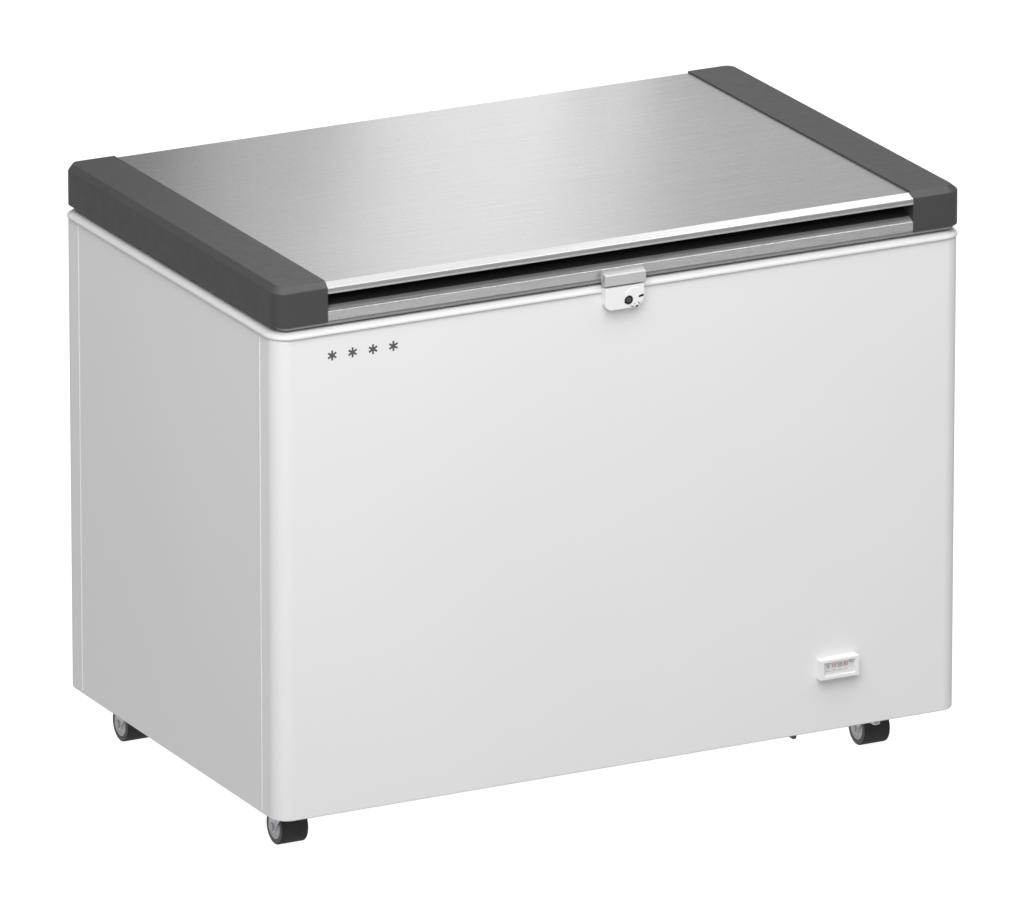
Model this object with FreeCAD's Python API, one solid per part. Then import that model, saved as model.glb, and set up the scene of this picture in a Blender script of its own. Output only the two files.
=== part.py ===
"""Commercial chest freezer with a flat steel worktop lid, on four fixed casters.

Millimetres. X is centred on the width, +Y points to the rear, Z = 0 is the floor.
"""
import FreeCAD, Part
import math
import os

V = FreeCAD.Vector

# Overall sizes
WIDTH = 1048.0                    # over the top frame
FRAME_DEPTH = 661.0               # front to rear over the top frame
HEIGHT = 827.3                    # floor to the top of the lid end caps
OVERALL_DEPTH = 700.0             # hasp face to the rear of the hinges
HASP_REACH = 11.5                 # hasp face in front of the top frame
HALF = WIDTH / 2
FRONT = HASP_REACH - OVERALL_DEPTH / 2
REAR = FRONT + FRAME_DEPTH

# Cabinet shell
BASE_Z = 75.2                     # underside of the cabinet
SHEET = 0.8
PANEL_INSET = 2.0                 # sheets stand this far inside the top frame
CORNER_R = 24.8
SEAM_FRONT = FRONT + 50.6         # joints between the wrapped sheets and the side sheets
SEAM_REAR = FRONT + 609.0
SEAM_GAP = 0.6
HEM = 14.0                        # folded flange along the bottom edge
PANEL_X = HALF - PANEL_INSET
PANEL_FRONT = FRONT + PANEL_INSET
PANEL_REAR = REAR - PANEL_INSET
SKIN = PANEL_INSET + SHEET        # from the frame's outside to the foam

# Top frame
FRAME_LOW = 753.0
FRAME_SEAT = 757.0                # the foam and liner end here; the sheets end at FRAME_LOW
FRAME_TOP = 764.2
FRAME_R = 30.0
MITRE = 100.0                     # length of the corner cuts between the four frame profiles
BEAD_R = 4.6
SKIRT = 1.5
SKIRT_LOW = 744.0

# Liner and machine compartment
WALL = 58.0                       # frame outside to the cavity
LINER_T = 1.0
LINER_R = 20.0
FLOOR_Z = 135.2
STEP_Z = 350.0                    # top of the step over the machine compartment
STEP_X = 246.0
MACHINE_X = 291.0
MACHINE_TOP = 308.0
BASE_T = 1.2
BASE_TOP = BASE_Z + SHEET + BASE_T

# Refrigeration tubes
COIL_R = 4.0
COIL_ROOM = 4.4                   # half the groove that holds the tube
COIL_LEVELS = [172.0, 232.0, 292.0, 400.0, 460.0, 520.0, 580.0, 640.0, 700.0]
COIL_START = -140.0
COIL_END = -80.0
CONDENSER_R = 3.0
CONDENSER_LEFT = -430.0
CONDENSER_RIGHT = 200.0
CONDENSER_LOW = 140.0
CONDENSER_PITCH = 80.0
CONDENSER_RUNS = 8
CONDENSER_TURN_ROOM = 32.0

# Compressor, mains inlet and rear vents
COMP_X = 405.0
COMP_Y = 120.0
COMP_R = 72.0
COMP_LOW = 106.0
COMP_HIGH = 268.0
COMP_FEET = [(dx, dy) for dx in (-55.0, 55.0) for dy in (-70.0, 70.0)]
INLET_X = (330.0, 362.0)
INLET_Z = (118.0, 144.0)
VENT_X = (330.0, 480.0)
VENT_LOW = 165.0
VENT_PITCH = 14.0
VENT_HEIGHT = 5.0
VENT_COUNT = 9

# Lid
CAP_X = 521.4                     # outer side of an end cap
CAP_INNER = 444.3
CAP_FRONT = FRONT + 1.06
CAP_REAR = FRONT + 657.8
CAP_LOW = 771.0
CAP_BEVEL_Z = 819.3
CAP_R = 22.0
CAP_T = 2.5
CAP_SIDE_BEVEL = 9.7
CAP_FRONT_BEVEL = 14.5
STEEL_T = 0.8
STEEL_GAP = 0.4                   # between the steel sheet and each end cap
STEEL_TOP = HEIGHT - CAP_T
LIP_Y = FRONT + 1.0
LIP_BEND_Y = FRONT + 18.0
LIP_BEVEL_Z = 819.5
LIP_LOW = 810.8
STEEL_REAR = FRONT + 653.6
GRIP_LOW = 773.0
GRIP_MOUTH = 786.2
GRIP_DEEP_Y = FRONT + 50.0
GRIP_DEEP_Z = 809.6
GRIP_T = 1.0
UNDER_LOW = 767.2
UNDER_STEP = 771.0
UNDER_TOP = 773.0
GASKET_OUT = 16.0
GASKET_IN = 32.0
GASKET_TOP = 769.2
PLUG_LOW = 752.0
PLUG_INSET = 86.0
PLUG_T = 1.2
PLUG_FLANGE = 57.0

# Lid hinges
HINGE_Y = REAR + 11.0
HINGE_Z = 765.0
HINGE_X = [-330.0, 330.0]
HINGE_W = 44.0
CHEEK_T = 2.0
CHEEK_R = 12.0
PIN_R = 4.0
PIN_ROOM = 0.06
HINGE_REAR = OVERALL_DEPTH / 2
HINGE_LOW = 640.0
LUG_T = 3.0
LUG_R = 9.0

# Lock and strike plate
HASP_LOW = 764.5
HASP_SHOULDER = 779.6
HASP_TOP = 785.2
LOCK_LEFT = -33.5
LOCK_RIGHT = 25.4
LOCK_LOW = 730.7
LOCK_HIGH = 762.2
LOCK_FACE = FRONT - 10.5
LOCK_X = 2.0
LOCK_Z = 742.0
LOCK_R = 6.25
ROSETTE_X = 10.4
ROSETTE_Z = 745.7
ROSETTE_R = 15.0

# Thermometer
THERMO_X = (299.6, 360.2)
THERMO_Z = (152.9, 181.7)
THERMO_WINDOW_X = (305.9, 354.0)
THERMO_WINDOW_Z = (158.2, 176.9)
THERMO_FACE = FRONT - 10.0

# Casters
WHEEL_R = 25.0
WHEEL_W = 40.1
HUB_R = 17.0
WHEEL_X = 448.45
WHEEL_Y = {"front": FRONT + 122.5, "rear": FRONT + 601.4}
AXLE_R = 4.0
FORK_T = 2.0
FORK_PLATE_Z = BASE_Z + SHEET - 2.5
BOLT_DX = 24.0
BOLT_DY = 28.0

# Ventilation grille and drain
GRILLE_Y = (-150.0, 150.0)
GRILLE_Z = (105.0, 285.0)
KNOB_Y = -122.0
KNOB_Z = 195.0
KNOB_R = 14.0
DRAIN_X = 200.0
DRAIN_Y = FRONT + 112.0
SPOUT_X = 415.0
SPOUT_Y = FRONT + 49.0
PIPE_R = 7.0
PIPE_BORE = 5.0
PIPE_Z = 100.0


def box(x0, x1, y0, y1, z0, z1):
    """An upright box between two corners."""
    return Part.makeBox(x1 - x0, y1 - y0, z1 - z0, V(x0, y0, z0))


def cylinder(radius, base, direction, length):
    return Part.makeCylinder(radius, length, base, direction)


def fuse(shapes):
    """One solid from several that touch or overlap."""
    whole = shapes[0]
    for shape in shapes[1:]:
        whole = whole.fuse(shape)
    return whole.removeSplitter()


def cut(shape, tools):
    for tool in tools:
        shape = shape.cut(tool)
    return shape


def outline(x0, x1, y0, y1, z, radii):
    """A closed rounded rectangle; radii run front-left, front-right, rear-right, rear-left."""
    corners = [(x0, y0, 1, 1), (x1, y0, -1, 1), (x1, y1, -1, -1), (x0, y1, 1, -1)]
    starts = []
    for index, (x, y, sx, sy) in enumerate(corners):
        r = radii[index]
        along_x = V(x + sx * r, y, z)
        along_y = V(x, y + sy * r, z)
        reach = r * (1 - math.sqrt(0.5))
        middle = V(x + sx * reach, y + sy * reach, z)
        first, last = (along_y, along_x) if index % 2 == 0 else (along_x, along_y)
        starts.append((first, middle, last, r))
    edges = []
    for index, (first, middle, last, r) in enumerate(starts):
        if r > 0:
            edges.append(Part.Arc(first, middle, last).toShape())
        following = starts[(index + 1) % 4][0]
        edges.append(Part.LineSegment(last, following).toShape())
    return Part.Wire(edges)


def prism(x0, x1, y0, y1, r, z0, z1):
    """A block with rounded upright corners."""
    radii = r if isinstance(r, (list, tuple)) else [r] * 4
    face = Part.Face(outline(x0, x1, y0, y1, z0, radii))
    return face.extrude(V(0, 0, z1 - z0))


def inset_prism(inset, r, z0, z1):
    """A rounded block that stands a distance inside the top frame's outline."""
    return prism(-HALF + inset, HALF - inset, FRONT + inset, REAR - inset, r, z0, z1)


def polygon_x(points, x0, x1):
    """A (y, z) polygon run along X."""
    wire = Part.makePolygon([V(x0, y, z) for y, z in points + points[:1]])
    return Part.Face(wire).extrude(V(x1 - x0, 0, 0))


def polygon_y(points, y0, y1):
    """An (x, z) polygon run along Y."""
    wire = Part.makePolygon([V(x, y0, z) for x, z in points + points[:1]])
    return Part.Face(wire).extrude(V(0, y1 - y0, 0))


def offset_path(points, distance):
    """The open path moved sideways to its left, mitred at each point."""
    moved = []
    for index, (y, z) in enumerate(points):
        before = points[max(index - 1, 0)]
        after = points[min(index + 1, len(points) - 1)]
        normals = []
        for (ay, az), (by, bz) in ((before, (y, z)), ((y, z), after)):
            length = math.hypot(by - ay, bz - az)
            if length > 0:
                normals.append((-(bz - az) / length, (by - ay) / length))
        ny = sum(n[0] for n in normals) / len(normals)
        nz = sum(n[1] for n in normals) / len(normals)
        scale = distance / (ny * ny + nz * nz)
        moved.append((y + ny * scale, z + nz * scale))
    return moved


def tube(points, bend, radius, bore=0.0):
    """A round tube along straight runs joined by arcs."""
    edges = []
    here = V(*points[0])
    for index in range(1, len(points)):
        corner = V(*points[index])
        if index == len(points) - 1:
            edges.append(Part.LineSegment(here, corner).toShape())
            break
        back = (V(*points[index - 1]) - corner).normalize()
        ahead = (V(*points[index + 1]) - corner).normalize()
        half_angle = back.getAngle(ahead) / 2
        reach = bend[index - 1] / math.tan(half_angle)
        first = corner + back * reach
        last = corner + ahead * reach
        bisector = (back + ahead).normalize()
        to_arc = bend[index - 1] / math.sin(half_angle) - bend[index - 1]
        if (first - here).Length > 1e-6:
            edges.append(Part.LineSegment(here, first).toShape())
        edges.append(Part.Arc(first, corner + bisector * to_arc, last).toShape())
        here = last
    path = Part.Wire(edges)
    start = V(*points[0])
    direction = (V(*points[1]) - start).normalize()
    solid = path.makePipeShell([Part.Wire(Part.makeCircle(radius, start, direction))], True, True)
    if bore > 0:
        inner = Part.Wire(Part.makeCircle(bore, start, direction))
        solid = solid.cut(path.makePipeShell([inner], True, True))
    return solid


def screw(centre, direction, head_r, head_h, shank_r, shank_l):
    """A pan-head screw: the head stands along direction, the shank goes the other way."""
    head = cylinder(head_r, centre, direction, head_h)
    recess = cylinder(head_r * 0.35, centre + direction * (head_h * 0.5), direction, head_h)
    shank = cylinder(shank_r, centre, direction * -1, shank_l)
    return head.cut(recess).fuse(shank)


# Cabinet

def cabinet_skin():
    """The folded sheets as one ring with its bottom hem, before the seams are cut."""
    outer = inset_prism(PANEL_INSET, CORNER_R, BASE_Z, FRAME_LOW)
    inner = inset_prism(SKIN, CORNER_R - SHEET, BASE_Z + SHEET, FRAME_LOW)
    opening = inset_prism(SKIN + HEM, CORNER_R - HEM, BASE_Z, BASE_Z + SHEET)
    return cut(outer, [inner, opening])


def grille_opening():
    return box(PANEL_X - 10, PANEL_X + 5, GRILLE_Y[0], GRILLE_Y[1], GRILLE_Z[0], GRILLE_Z[1])


def rear_vents():
    """Louvre slots of the machine compartment in the rear sheet."""
    slots = []
    for row in range(VENT_COUNT):
        z = VENT_LOW + row * VENT_PITCH
        slots.append(box(VENT_X[0], VENT_X[1], PANEL_REAR - 5, PANEL_REAR + 5, z, z + VENT_HEIGHT))
    return slots


def cabinet_sheets():
    skin = cabinet_skin()
    low, high = BASE_Z - 1, FRAME_LOW + 1
    gap = SEAM_GAP / 2
    front = skin.common(box(-HALF, HALF, FRONT, SEAM_FRONT - gap, low, high))
    rear = skin.common(box(-HALF, HALF, SEAM_REAR + gap, REAR, low, high))
    left = skin.common(box(-HALF, 0, SEAM_FRONT + gap, SEAM_REAR - gap, low, high))
    right = skin.common(box(0, HALF, SEAM_FRONT + gap, SEAM_REAR - gap, low, high))
    inlet = box(INLET_X[0], INLET_X[1], PANEL_REAR - 5, PANEL_REAR + 5, INLET_Z[0], INLET_Z[1])
    return {
        "front_panel": front,
        "rear_panel": cut(rear, rear_vents() + [inlet]),
        "left_side_panel": left,
        "right_side_panel": right.cut(grille_opening()),
    }


def liner_block(grow, z_top):
    """The cavity grown outwards by a distance, with the step left out."""
    inset = WALL - grow
    r = LINER_R + grow
    x0 = -HALF + inset
    y0 = FRONT + inset
    y1 = REAR - inset
    well = prism(x0, STEP_X + grow, y0, y1, r, FLOOR_Z - grow, z_top)
    upper = prism(x0, HALF - inset, y0, y1, r, STEP_Z - grow, z_top)
    return well.fuse(upper).removeSplitter()


def inner_liner():
    outer = liner_block(LINER_T, FRAME_SEAT)
    drain = cylinder(PIPE_R, V(DRAIN_X, DRAIN_Y, FLOOR_Z - 5), V(0, 0, 1), 10)
    return cut(outer, [liner_block(0.0, FRAME_SEAT), drain])


def coil_footprint(level):
    """Half-width limits and depth limits of the evaporator's centre line at a level."""
    out = LINER_T + COIL_R + 0.1
    x1 = (STEP_X if level < STEP_Z else HALF - WALL) + out
    return -HALF + WALL - out, x1, FRONT + WALL - out, REAR - WALL + out


def evaporator_coil():
    """One tube that goes round the liner once at each level, turning back at the rear wall."""
    points = []
    bends = []
    corner = LINER_R + LINER_T + COIL_R
    for index, z in enumerate(COIL_LEVELS):
        x0, x1, y0, y1 = coil_footprint(z)
        ring = [(COIL_START, y1), (x0, y1), (x0, y0), (x1, y0), (x1, y1), (COIL_END, y1)]
        if index % 2:
            ring.reverse()
        points += [(x, y, z) for x, y in ring]
        bends += [12.0, corner, corner, corner, corner, 12.0]
    return tube(points, bends[1:-1], COIL_R)


def evaporator_grooves():
    tools = []
    reach = LINER_T + 2 * COIL_ROOM
    r = LINER_R + reach
    x0 = -HALF + WALL - reach
    y0 = FRONT + WALL - reach
    y1 = REAR - WALL + reach
    for z in COIL_LEVELS:
        x1 = (STEP_X if z < STEP_Z else HALF - WALL) + reach
        tools.append(prism(x0, x1, y0, y1, r, z - COIL_ROOM, z + COIL_ROOM))
    tools.append(box(COIL_START - 20, COIL_END + 20, y1 - 12, y1, COIL_LEVELS[0], COIL_LEVELS[-1]))
    return tools


def condenser_levels():
    return [CONDENSER_LOW + index * CONDENSER_PITCH for index in range(CONDENSER_RUNS)]


def condenser_coil():
    """A serpentine tube against the rear sheet."""
    y = PANEL_REAR - SHEET - CONDENSER_R - 0.1
    points = []
    for index, z in enumerate(condenser_levels()):
        ends = [(CONDENSER_RIGHT, z), (CONDENSER_LEFT, z)]
        if index % 2:
            ends.reverse()
        points += [(x, y, level) for x, level in ends]
    bends = [CONDENSER_PITCH * 0.3] * (len(points) - 2)
    return tube(points, bends, CONDENSER_R)


def condenser_grooves():
    y1 = PANEL_REAR - SHEET
    y0 = y1 - 2 * CONDENSER_R - 0.6
    levels = condenser_levels()
    x0 = CONDENSER_LEFT - CONDENSER_R - 1
    x1 = CONDENSER_RIGHT + CONDENSER_R + 1
    tools = [box(x0, x1, y0, y1, z - CONDENSER_R - 1, z + CONDENSER_R + 1) for z in levels]
    for index in range(len(levels) - 1):
        x = x0 if index % 2 == 0 else x1 - CONDENSER_TURN_ROOM
        tools.append(box(x, x + CONDENSER_TURN_ROOM, y0, y1, levels[index], levels[index + 1]))
    return tools


def drain_route():
    return [
        (DRAIN_X, DRAIN_Y, FLOOR_Z - LINER_T),
        (DRAIN_X, DRAIN_Y, PIPE_Z),
        (SPOUT_X, DRAIN_Y, PIPE_Z),
        (SPOUT_X, SPOUT_Y, PIPE_Z),
        (SPOUT_X, SPOUT_Y, BASE_Z),
    ]


def drain_room():
    """Space for the drain pipe in the foam."""
    r = PIPE_R + 0.3
    down = box(DRAIN_X - r, DRAIN_X + r, DRAIN_Y - r, DRAIN_Y + r, PIPE_Z - r, FLOOR_Z)
    across = box(DRAIN_X - r, MACHINE_X + 5, DRAIN_Y - r, DRAIN_Y + r, PIPE_Z - r, PIPE_Z + r)
    elbow = box(DRAIN_X - r, DRAIN_X + 16, DRAIN_Y - r, DRAIN_Y + r, PIPE_Z - r, PIPE_Z + 16)
    return [down, across, elbow]


def machine_space():
    return box(MACHINE_X, PANEL_X - SHEET, PANEL_FRONT + SHEET, PANEL_REAR - SHEET, BASE_TOP, MACHINE_TOP)


def foam_slabs():
    """The insulation's butted slabs: front and rear in two heights, sides, floor and the step."""
    x0, x1 = -HALF + WALL - LINER_T, HALF - WALL + LINER_T
    y0, y1 = FRONT + WALL - LINER_T, REAR - WALL + LINER_T
    floor_z, step_z, step_x = FLOOR_Z - LINER_T, STEP_Z - LINER_T, STEP_X + LINER_T
    slabs = []
    for near, far in ((FRONT, y0), (y1, REAR)):
        slabs.append(box(-HALF, HALF, near, far, MACHINE_TOP, FRAME_SEAT))
        slabs.append(box(-HALF, MACHINE_X, near, far, BASE_TOP, MACHINE_TOP))
    slabs.append(box(-HALF, x0, y0, y1, BASE_TOP, FRAME_SEAT))
    slabs.append(box(x1, HALF, y0, y1, MACHINE_TOP, FRAME_SEAT))
    slabs.append(box(x0, MACHINE_X, y0, y1, BASE_TOP, floor_z))
    slabs.append(box(step_x, MACHINE_X, y0, y1, floor_z, step_z))
    slabs.append(box(MACHINE_X, x1, y0, y1, MACHINE_TOP, step_z))
    return slabs


def cabinet_foam():
    block = inset_prism(SKIN, CORNER_R - SHEET, BASE_TOP, FRAME_SEAT)
    block = cut(block, evaporator_grooves() + condenser_grooves() + drain_room())
    return Part.makeCompound([block.common(slab) for slab in foam_slabs()])


def base_plate():
    plate = inset_prism(SKIN, CORNER_R - SHEET, BASE_Z + SHEET, BASE_TOP)
    outlet = cylinder(PIPE_R + 0.3, V(SPOUT_X, SPOUT_Y, BASE_Z), V(0, 0, 1), 10)
    holes = [cylinder(3.0, V(x, y, BASE_Z), V(0, 0, 1), 10) for x, y in caster_bolt_places()]
    slots = []
    for row in range(5):
        y = 60.0 + row * 26.0
        slots.append(box(340, 470, y, y + 10, BASE_Z, BASE_TOP + 1))
    return cut(plate, [outlet] + holes + slots)


def mitre_wedges():
    """Four upright blocks that part the frame at 45 degree corner joints."""
    corners = [(-HALF, FRONT), (HALF, FRONT), (HALF, REAR), (-HALF, REAR)]
    inner = [(-HALF + MITRE, FRONT + MITRE), (HALF - MITRE, FRONT + MITRE)]
    inner += [(HALF - MITRE, REAR - MITRE), (-HALF + MITRE, REAR - MITRE)]
    wedges = []
    for index in range(4):
        other = (index + 1) % 4
        plan = [corners[index], corners[other], inner[other], inner[index], corners[index]]
        wire = Part.makePolygon([V(x, y, SKIRT_LOW - 1) for x, y in plan])
        wedges.append(Part.Face(wire).extrude(V(0, 0, FRAME_TOP - SKIRT_LOW + 2)))
    return wedges


def top_frame():
    """Four mitred profiles with a rounded bead, an inner skirt and a seat for the foam and liner."""
    slab = inset_prism(0.0, FRAME_R, FRAME_LOW, FRAME_TOP)
    rims = []
    for edge in slab.Edges:
        bb = edge.BoundBox
        if bb.ZLength < 1e-6:
            rims.append(edge)
    slab = slab.makeFillet(BEAD_R, rims)
    skirt_inset = WALL + SKIRT
    skirt = inset_prism(WALL, LINER_R, SKIRT_LOW, FRAME_SEAT + 1)
    pocket = inset_prism(SKIN, CORNER_R - SHEET, FRAME_LOW - 1, FRAME_SEAT)
    pocket = pocket.cut(inset_prism(WALL, LINER_R, FRAME_LOW - 1, FRAME_SEAT))
    opening = inset_prism(skirt_inset, LINER_R - SKIRT, SKIRT_LOW - 1, FRAME_TOP + 1)
    ring = cut(slab.fuse(skirt), [pocket, opening])
    return Part.makeCompound([ring.common(wedge) for wedge in mitre_wedges()])


# Machine compartment

def compressor():
    body = cylinder(COMP_R, V(COMP_X, COMP_Y, COMP_LOW), V(0, 0, 1), COMP_HIGH - COMP_LOW)
    ends = [e for e in body.Edges if abs(e.BoundBox.ZLength) < 1e-6]
    body = body.makeFillet(34.0, ends)
    band = cylinder(COMP_R + 3, V(COMP_X, COMP_Y, 182), V(0, 0, 1), 7)
    return body.fuse(band)


def compressor_base():
    plate = prism(COMP_X - 70, COMP_X + 70, COMP_Y - 88, COMP_Y + 88, 12, COMP_LOW - 3, COMP_LOW)
    holes = [
        cylinder(6.0, V(COMP_X + dx, COMP_Y + dy, COMP_LOW - 5), V(0, 0, 1), 10)
        for dx, dy in COMP_FEET
    ]
    return cut(plate, holes)


def compressor_grommets():
    """Four rubber mounts, waisted where the base plate sits on them."""
    solids = []
    for dx, dy in COMP_FEET:
        at = V(COMP_X + dx, COMP_Y + dy, BASE_TOP)
        foot = cylinder(11.0, at, V(0, 0, 1), COMP_LOW - 3 - BASE_TOP)
        neck = cylinder(6.0, at, V(0, 0, 1), COMP_LOW + 6 - BASE_TOP)
        bore = cylinder(3.2, at, V(0, 0, 1), COMP_LOW + 10 - BASE_TOP)
        solids.append(foot.fuse(neck).cut(bore))
    return Part.makeCompound(solids)


def relay_cover():
    """Terminal cover on the compressor's side."""
    body = box(COMP_X - 26, COMP_X + 26, COMP_Y - COMP_R - 26, COMP_Y - COMP_R + 14, 196, 246)
    body = body.makeFillet(4.0, [e for e in body.Edges if e.BoundBox.YLength > 30])
    return body.cut(compressor())


def filter_drier():
    at = V(316, -60, 150)
    body = cylinder(9.0, at, V(0, 0, 1), 90)
    ends = [e for e in body.Edges if abs(e.BoundBox.ZLength) < 1e-6]
    return body.makeFillet(6.0, ends)


def suction_line():
    start = COMP_X - COMP_R + 6
    points = [(start, COMP_Y, 166), (MACHINE_X + 14, COMP_Y, 166), (MACHINE_X + 14, COMP_Y, 306)]
    return tube(points, [12.0], 4.0).cut(compressor())


def discharge_line():
    points = [(COMP_X, COMP_Y - COMP_R + 6, 140), (COMP_X, -60, 140), (316, -60, 140)]
    line = tube(points, [20.0], 3.0)
    return line.cut(compressor()).cut(filter_drier())


def side_grille():
    """Louvred plastic insert in the right side sheet, with a dish for the thermostat knob."""
    x_face = HALF - 0.5
    flange = box(PANEL_X, x_face, GRILLE_Y[0] - 8, GRILLE_Y[1] + 8, GRILLE_Z[0] - 8, GRILLE_Z[1] + 8)
    flange = flange.makeFillet(6.0, [e for e in flange.Edges if abs(e.BoundBox.XLength - 1.5) < 1e-6])
    body = box(PANEL_X - 8, PANEL_X, GRILLE_Y[0] + 0.3, GRILLE_Y[1] - 0.3, GRILLE_Z[0] + 0.3, GRILLE_Z[1] - 0.3)
    slots = []
    for row in range(11):
        z = GRILLE_Z[0] + 14 + row * 14.5
        slots.append(box(PANEL_X - 9, HALF, -85, GRILLE_Y[1] - 14, z, z + 7))
    dish = cylinder(KNOB_R + 3, V(PANEL_X - 6.5, KNOB_Y, KNOB_Z), V(1, 0, 0), 20)
    spindle = cylinder(4.06, V(PANEL_X - 9, KNOB_Y, KNOB_Z), V(1, 0, 0), 9)
    holes = [cylinder(2.2, V(PANEL_X - 9, y, z), V(1, 0, 0), 20) for y, z in grille_screw_places()]
    return cut(flange.fuse(body), slots + [dish, spindle] + holes).removeSplitter()


def grille_screw_places():
    return [(y, z) for y in (GRILLE_Y[0] + 7, GRILLE_Y[1] - 7) for z in (GRILLE_Z[0] + 6, GRILLE_Z[1] - 6)]


def grille_screws():
    solids = []
    for y, z in grille_screw_places():
        head = cylinder(3.6, V(HALF - 0.5, y, z), V(1, 0, 0), 0.5)
        shank = cylinder(2.0, V(PANEL_X - 12, y, z), V(1, 0, 0), HALF - 0.5 - PANEL_X + 12)
        solids.append(head.fuse(shank))
    return Part.makeCompound(solids)


def thermostat_knob():
    """Coin-slot knob sunk in the grille's dish."""
    disc = cylinder(KNOB_R, V(PANEL_X - 6.2, KNOB_Y, KNOB_Z), V(1, 0, 0), 7.4)
    slot = box(PANEL_X - 1, HALF, KNOB_Y - 10, KNOB_Y + 10, KNOB_Z - 1, KNOB_Z + 1)
    shaft = cylinder(4.0, V(PANEL_X - 16, KNOB_Y, KNOB_Z), V(1, 0, 0), 12)
    return disc.cut(slot).fuse(shaft)


def power_inlet():
    """Three-pin appliance inlet in the rear sheet."""
    x0, x1 = INLET_X
    z0, z1 = INLET_Z
    flange = box(x0 - 4, x1 + 4, PANEL_REAR, PANEL_REAR + 2, z0 - 4, z1 + 4)
    body = box(x0, x1, PANEL_REAR - 20, PANEL_REAR, z0, z1)
    socket = box(x0 + 3, x1 - 3, PANEL_REAR - 15, PANEL_REAR + 3, z0 + 3, z1 - 3)
    shell = flange.fuse(body).cut(socket)
    pins = []
    middle = (x0 + x1) / 2
    for dx, dz in ((-7.0, -2.0), (0.0, 3.0), (7.0, -2.0)):
        at = (z0 + z1) / 2 + dz
        pins.append(box(middle + dx - 1, middle + dx + 1, PANEL_REAR - 16, PANEL_REAR - 6, at - 3, at + 3))
    return fuse([shell] + pins)


# Drain

def drain_plug():
    """Rubber plug that lifts out of the liner's floor."""
    at = V(DRAIN_X, DRAIN_Y, FLOOR_Z)
    cap = cylinder(13.0, at, V(0, 0, 1), 3)
    stem = cylinder(PIPE_BORE - 0.1, at - V(0, 0, 14), V(0, 0, 1), 14)
    tab = box(DRAIN_X - 8, DRAIN_X + 8, DRAIN_Y - 1.5, DRAIN_Y + 1.5, FLOOR_Z + 3, FLOOR_Z + 12)
    return fuse([cap, stem, tab])


def drain_pipe():
    return tube(drain_route(), [15.0, 22.0, 15.0], PIPE_R, PIPE_BORE)


def drain_spout():
    """Tapered white outlet below the base, open to the front."""
    top, low = BASE_Z, BASE_Z - 19.0
    wide, narrow, wall = 8.5, 4.8, 1.8
    y0, y1 = SPOUT_Y - 9, SPOUT_Y + 9
    outer = [(SPOUT_X - wide, top), (SPOUT_X - narrow, low), (SPOUT_X + narrow, low), (SPOUT_X + wide, top)]
    inner = [
        (SPOUT_X - wide + wall, top - wall),
        (SPOUT_X - narrow + wall * 0.8, low + wall),
        (SPOUT_X + narrow - wall * 0.8, low + wall),
        (SPOUT_X + wide - wall, top - wall),
    ]
    body = polygon_y(outer, y0, y1).cut(polygon_y(inner, y0 - 1, y1 - wall))
    hole = cylinder(PIPE_BORE, V(SPOUT_X, SPOUT_Y, top - 4), V(0, 0, 1), 10)
    return body.cut(hole)


def base_stop():
    """Dark rubber foot under the front edge."""
    points = [(289.0, BASE_Z + SHEET), (291.5, 50.2), (297.5, 50.2), (300.0, BASE_Z + SHEET)]
    return polygon_y(points, FRONT + 54, FRONT + 72)


# Thermometer

def thermometer():
    x0, x1 = THERMO_X
    z0, z1 = THERMO_Z
    wx0, wx1 = THERMO_WINDOW_X
    wz0, wz1 = THERMO_WINDOW_Z
    body = box(x0, x1, THERMO_FACE, PANEL_FRONT, z0, z1)
    rim = [e for e in body.Edges if e.BoundBox.YMax < THERMO_FACE + 1e-6]
    body = body.makeFillet(1.5, rim)
    pocket = box(wx0, wx1, THERMO_FACE - 1, THERMO_FACE + 8, wz0, wz1)
    scale = box(wx0, wx1, THERMO_FACE + 7, THERMO_FACE + 8, wz0, wz1)
    window = box(wx0, wx1, THERMO_FACE + 1.2, THERMO_FACE + 2.4, wz0, wz1)
    return {
        "thermometer_bezel": body.cut(pocket),
        "thermometer_scale": scale,
        "thermometer_window": window,
    }


# Lock

def lock_outline(y0, y1):
    """The housing's face outline: small top corners and two different bottom corners."""
    left_r, right_r, top_r = 10.0, 15.0, 2.0
    flat = outline(LOCK_LEFT, LOCK_RIGHT, LOCK_LOW, LOCK_HIGH, 0.0, [left_r, right_r, top_r, top_r])
    face = Part.Face(flat)
    face.rotate(V(0, 0, 0), V(1, 0, 0), 90)
    face.translate(V(0, y1, 0))
    return face.extrude(V(0, y0 - y1, 0))


def lock_housing():
    body = lock_outline(LOCK_FACE, PANEL_FRONT)
    front = [e for e in body.Edges if e.BoundBox.YMax < LOCK_FACE + 1e-6]
    body = body.makeFillet(1.8, front)
    rosette = cylinder(ROSETTE_R, V(ROSETTE_X, LOCK_FACE - 0.6, ROSETTE_Z), V(0, 1, 0), 3)
    bead = box(LOCK_LEFT - 1, LOCK_RIGHT + 1, FRONT, PANEL_FRONT + 1, FRAME_LOW, LOCK_HIGH + 1)
    bore = cylinder(LOCK_R + 0.06, V(LOCK_X, LOCK_FACE - 2, LOCK_Z), V(0, 1, 0), 11.5)
    return cut(body.fuse(rosette), [bead, bore]).removeSplitter()


def lock_cylinder():
    """Round key barrel with a key slot."""
    barrel = cylinder(LOCK_R, V(LOCK_X, LOCK_FACE - 1.0, LOCK_Z), V(0, 1, 0), 10.0)
    slot = box(LOCK_X - 4.2, LOCK_X + 4.2, LOCK_FACE - 2, LOCK_FACE + 5, LOCK_Z - 0.9, LOCK_Z + 0.9)
    return barrel.cut(slot)


# Casters

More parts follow.
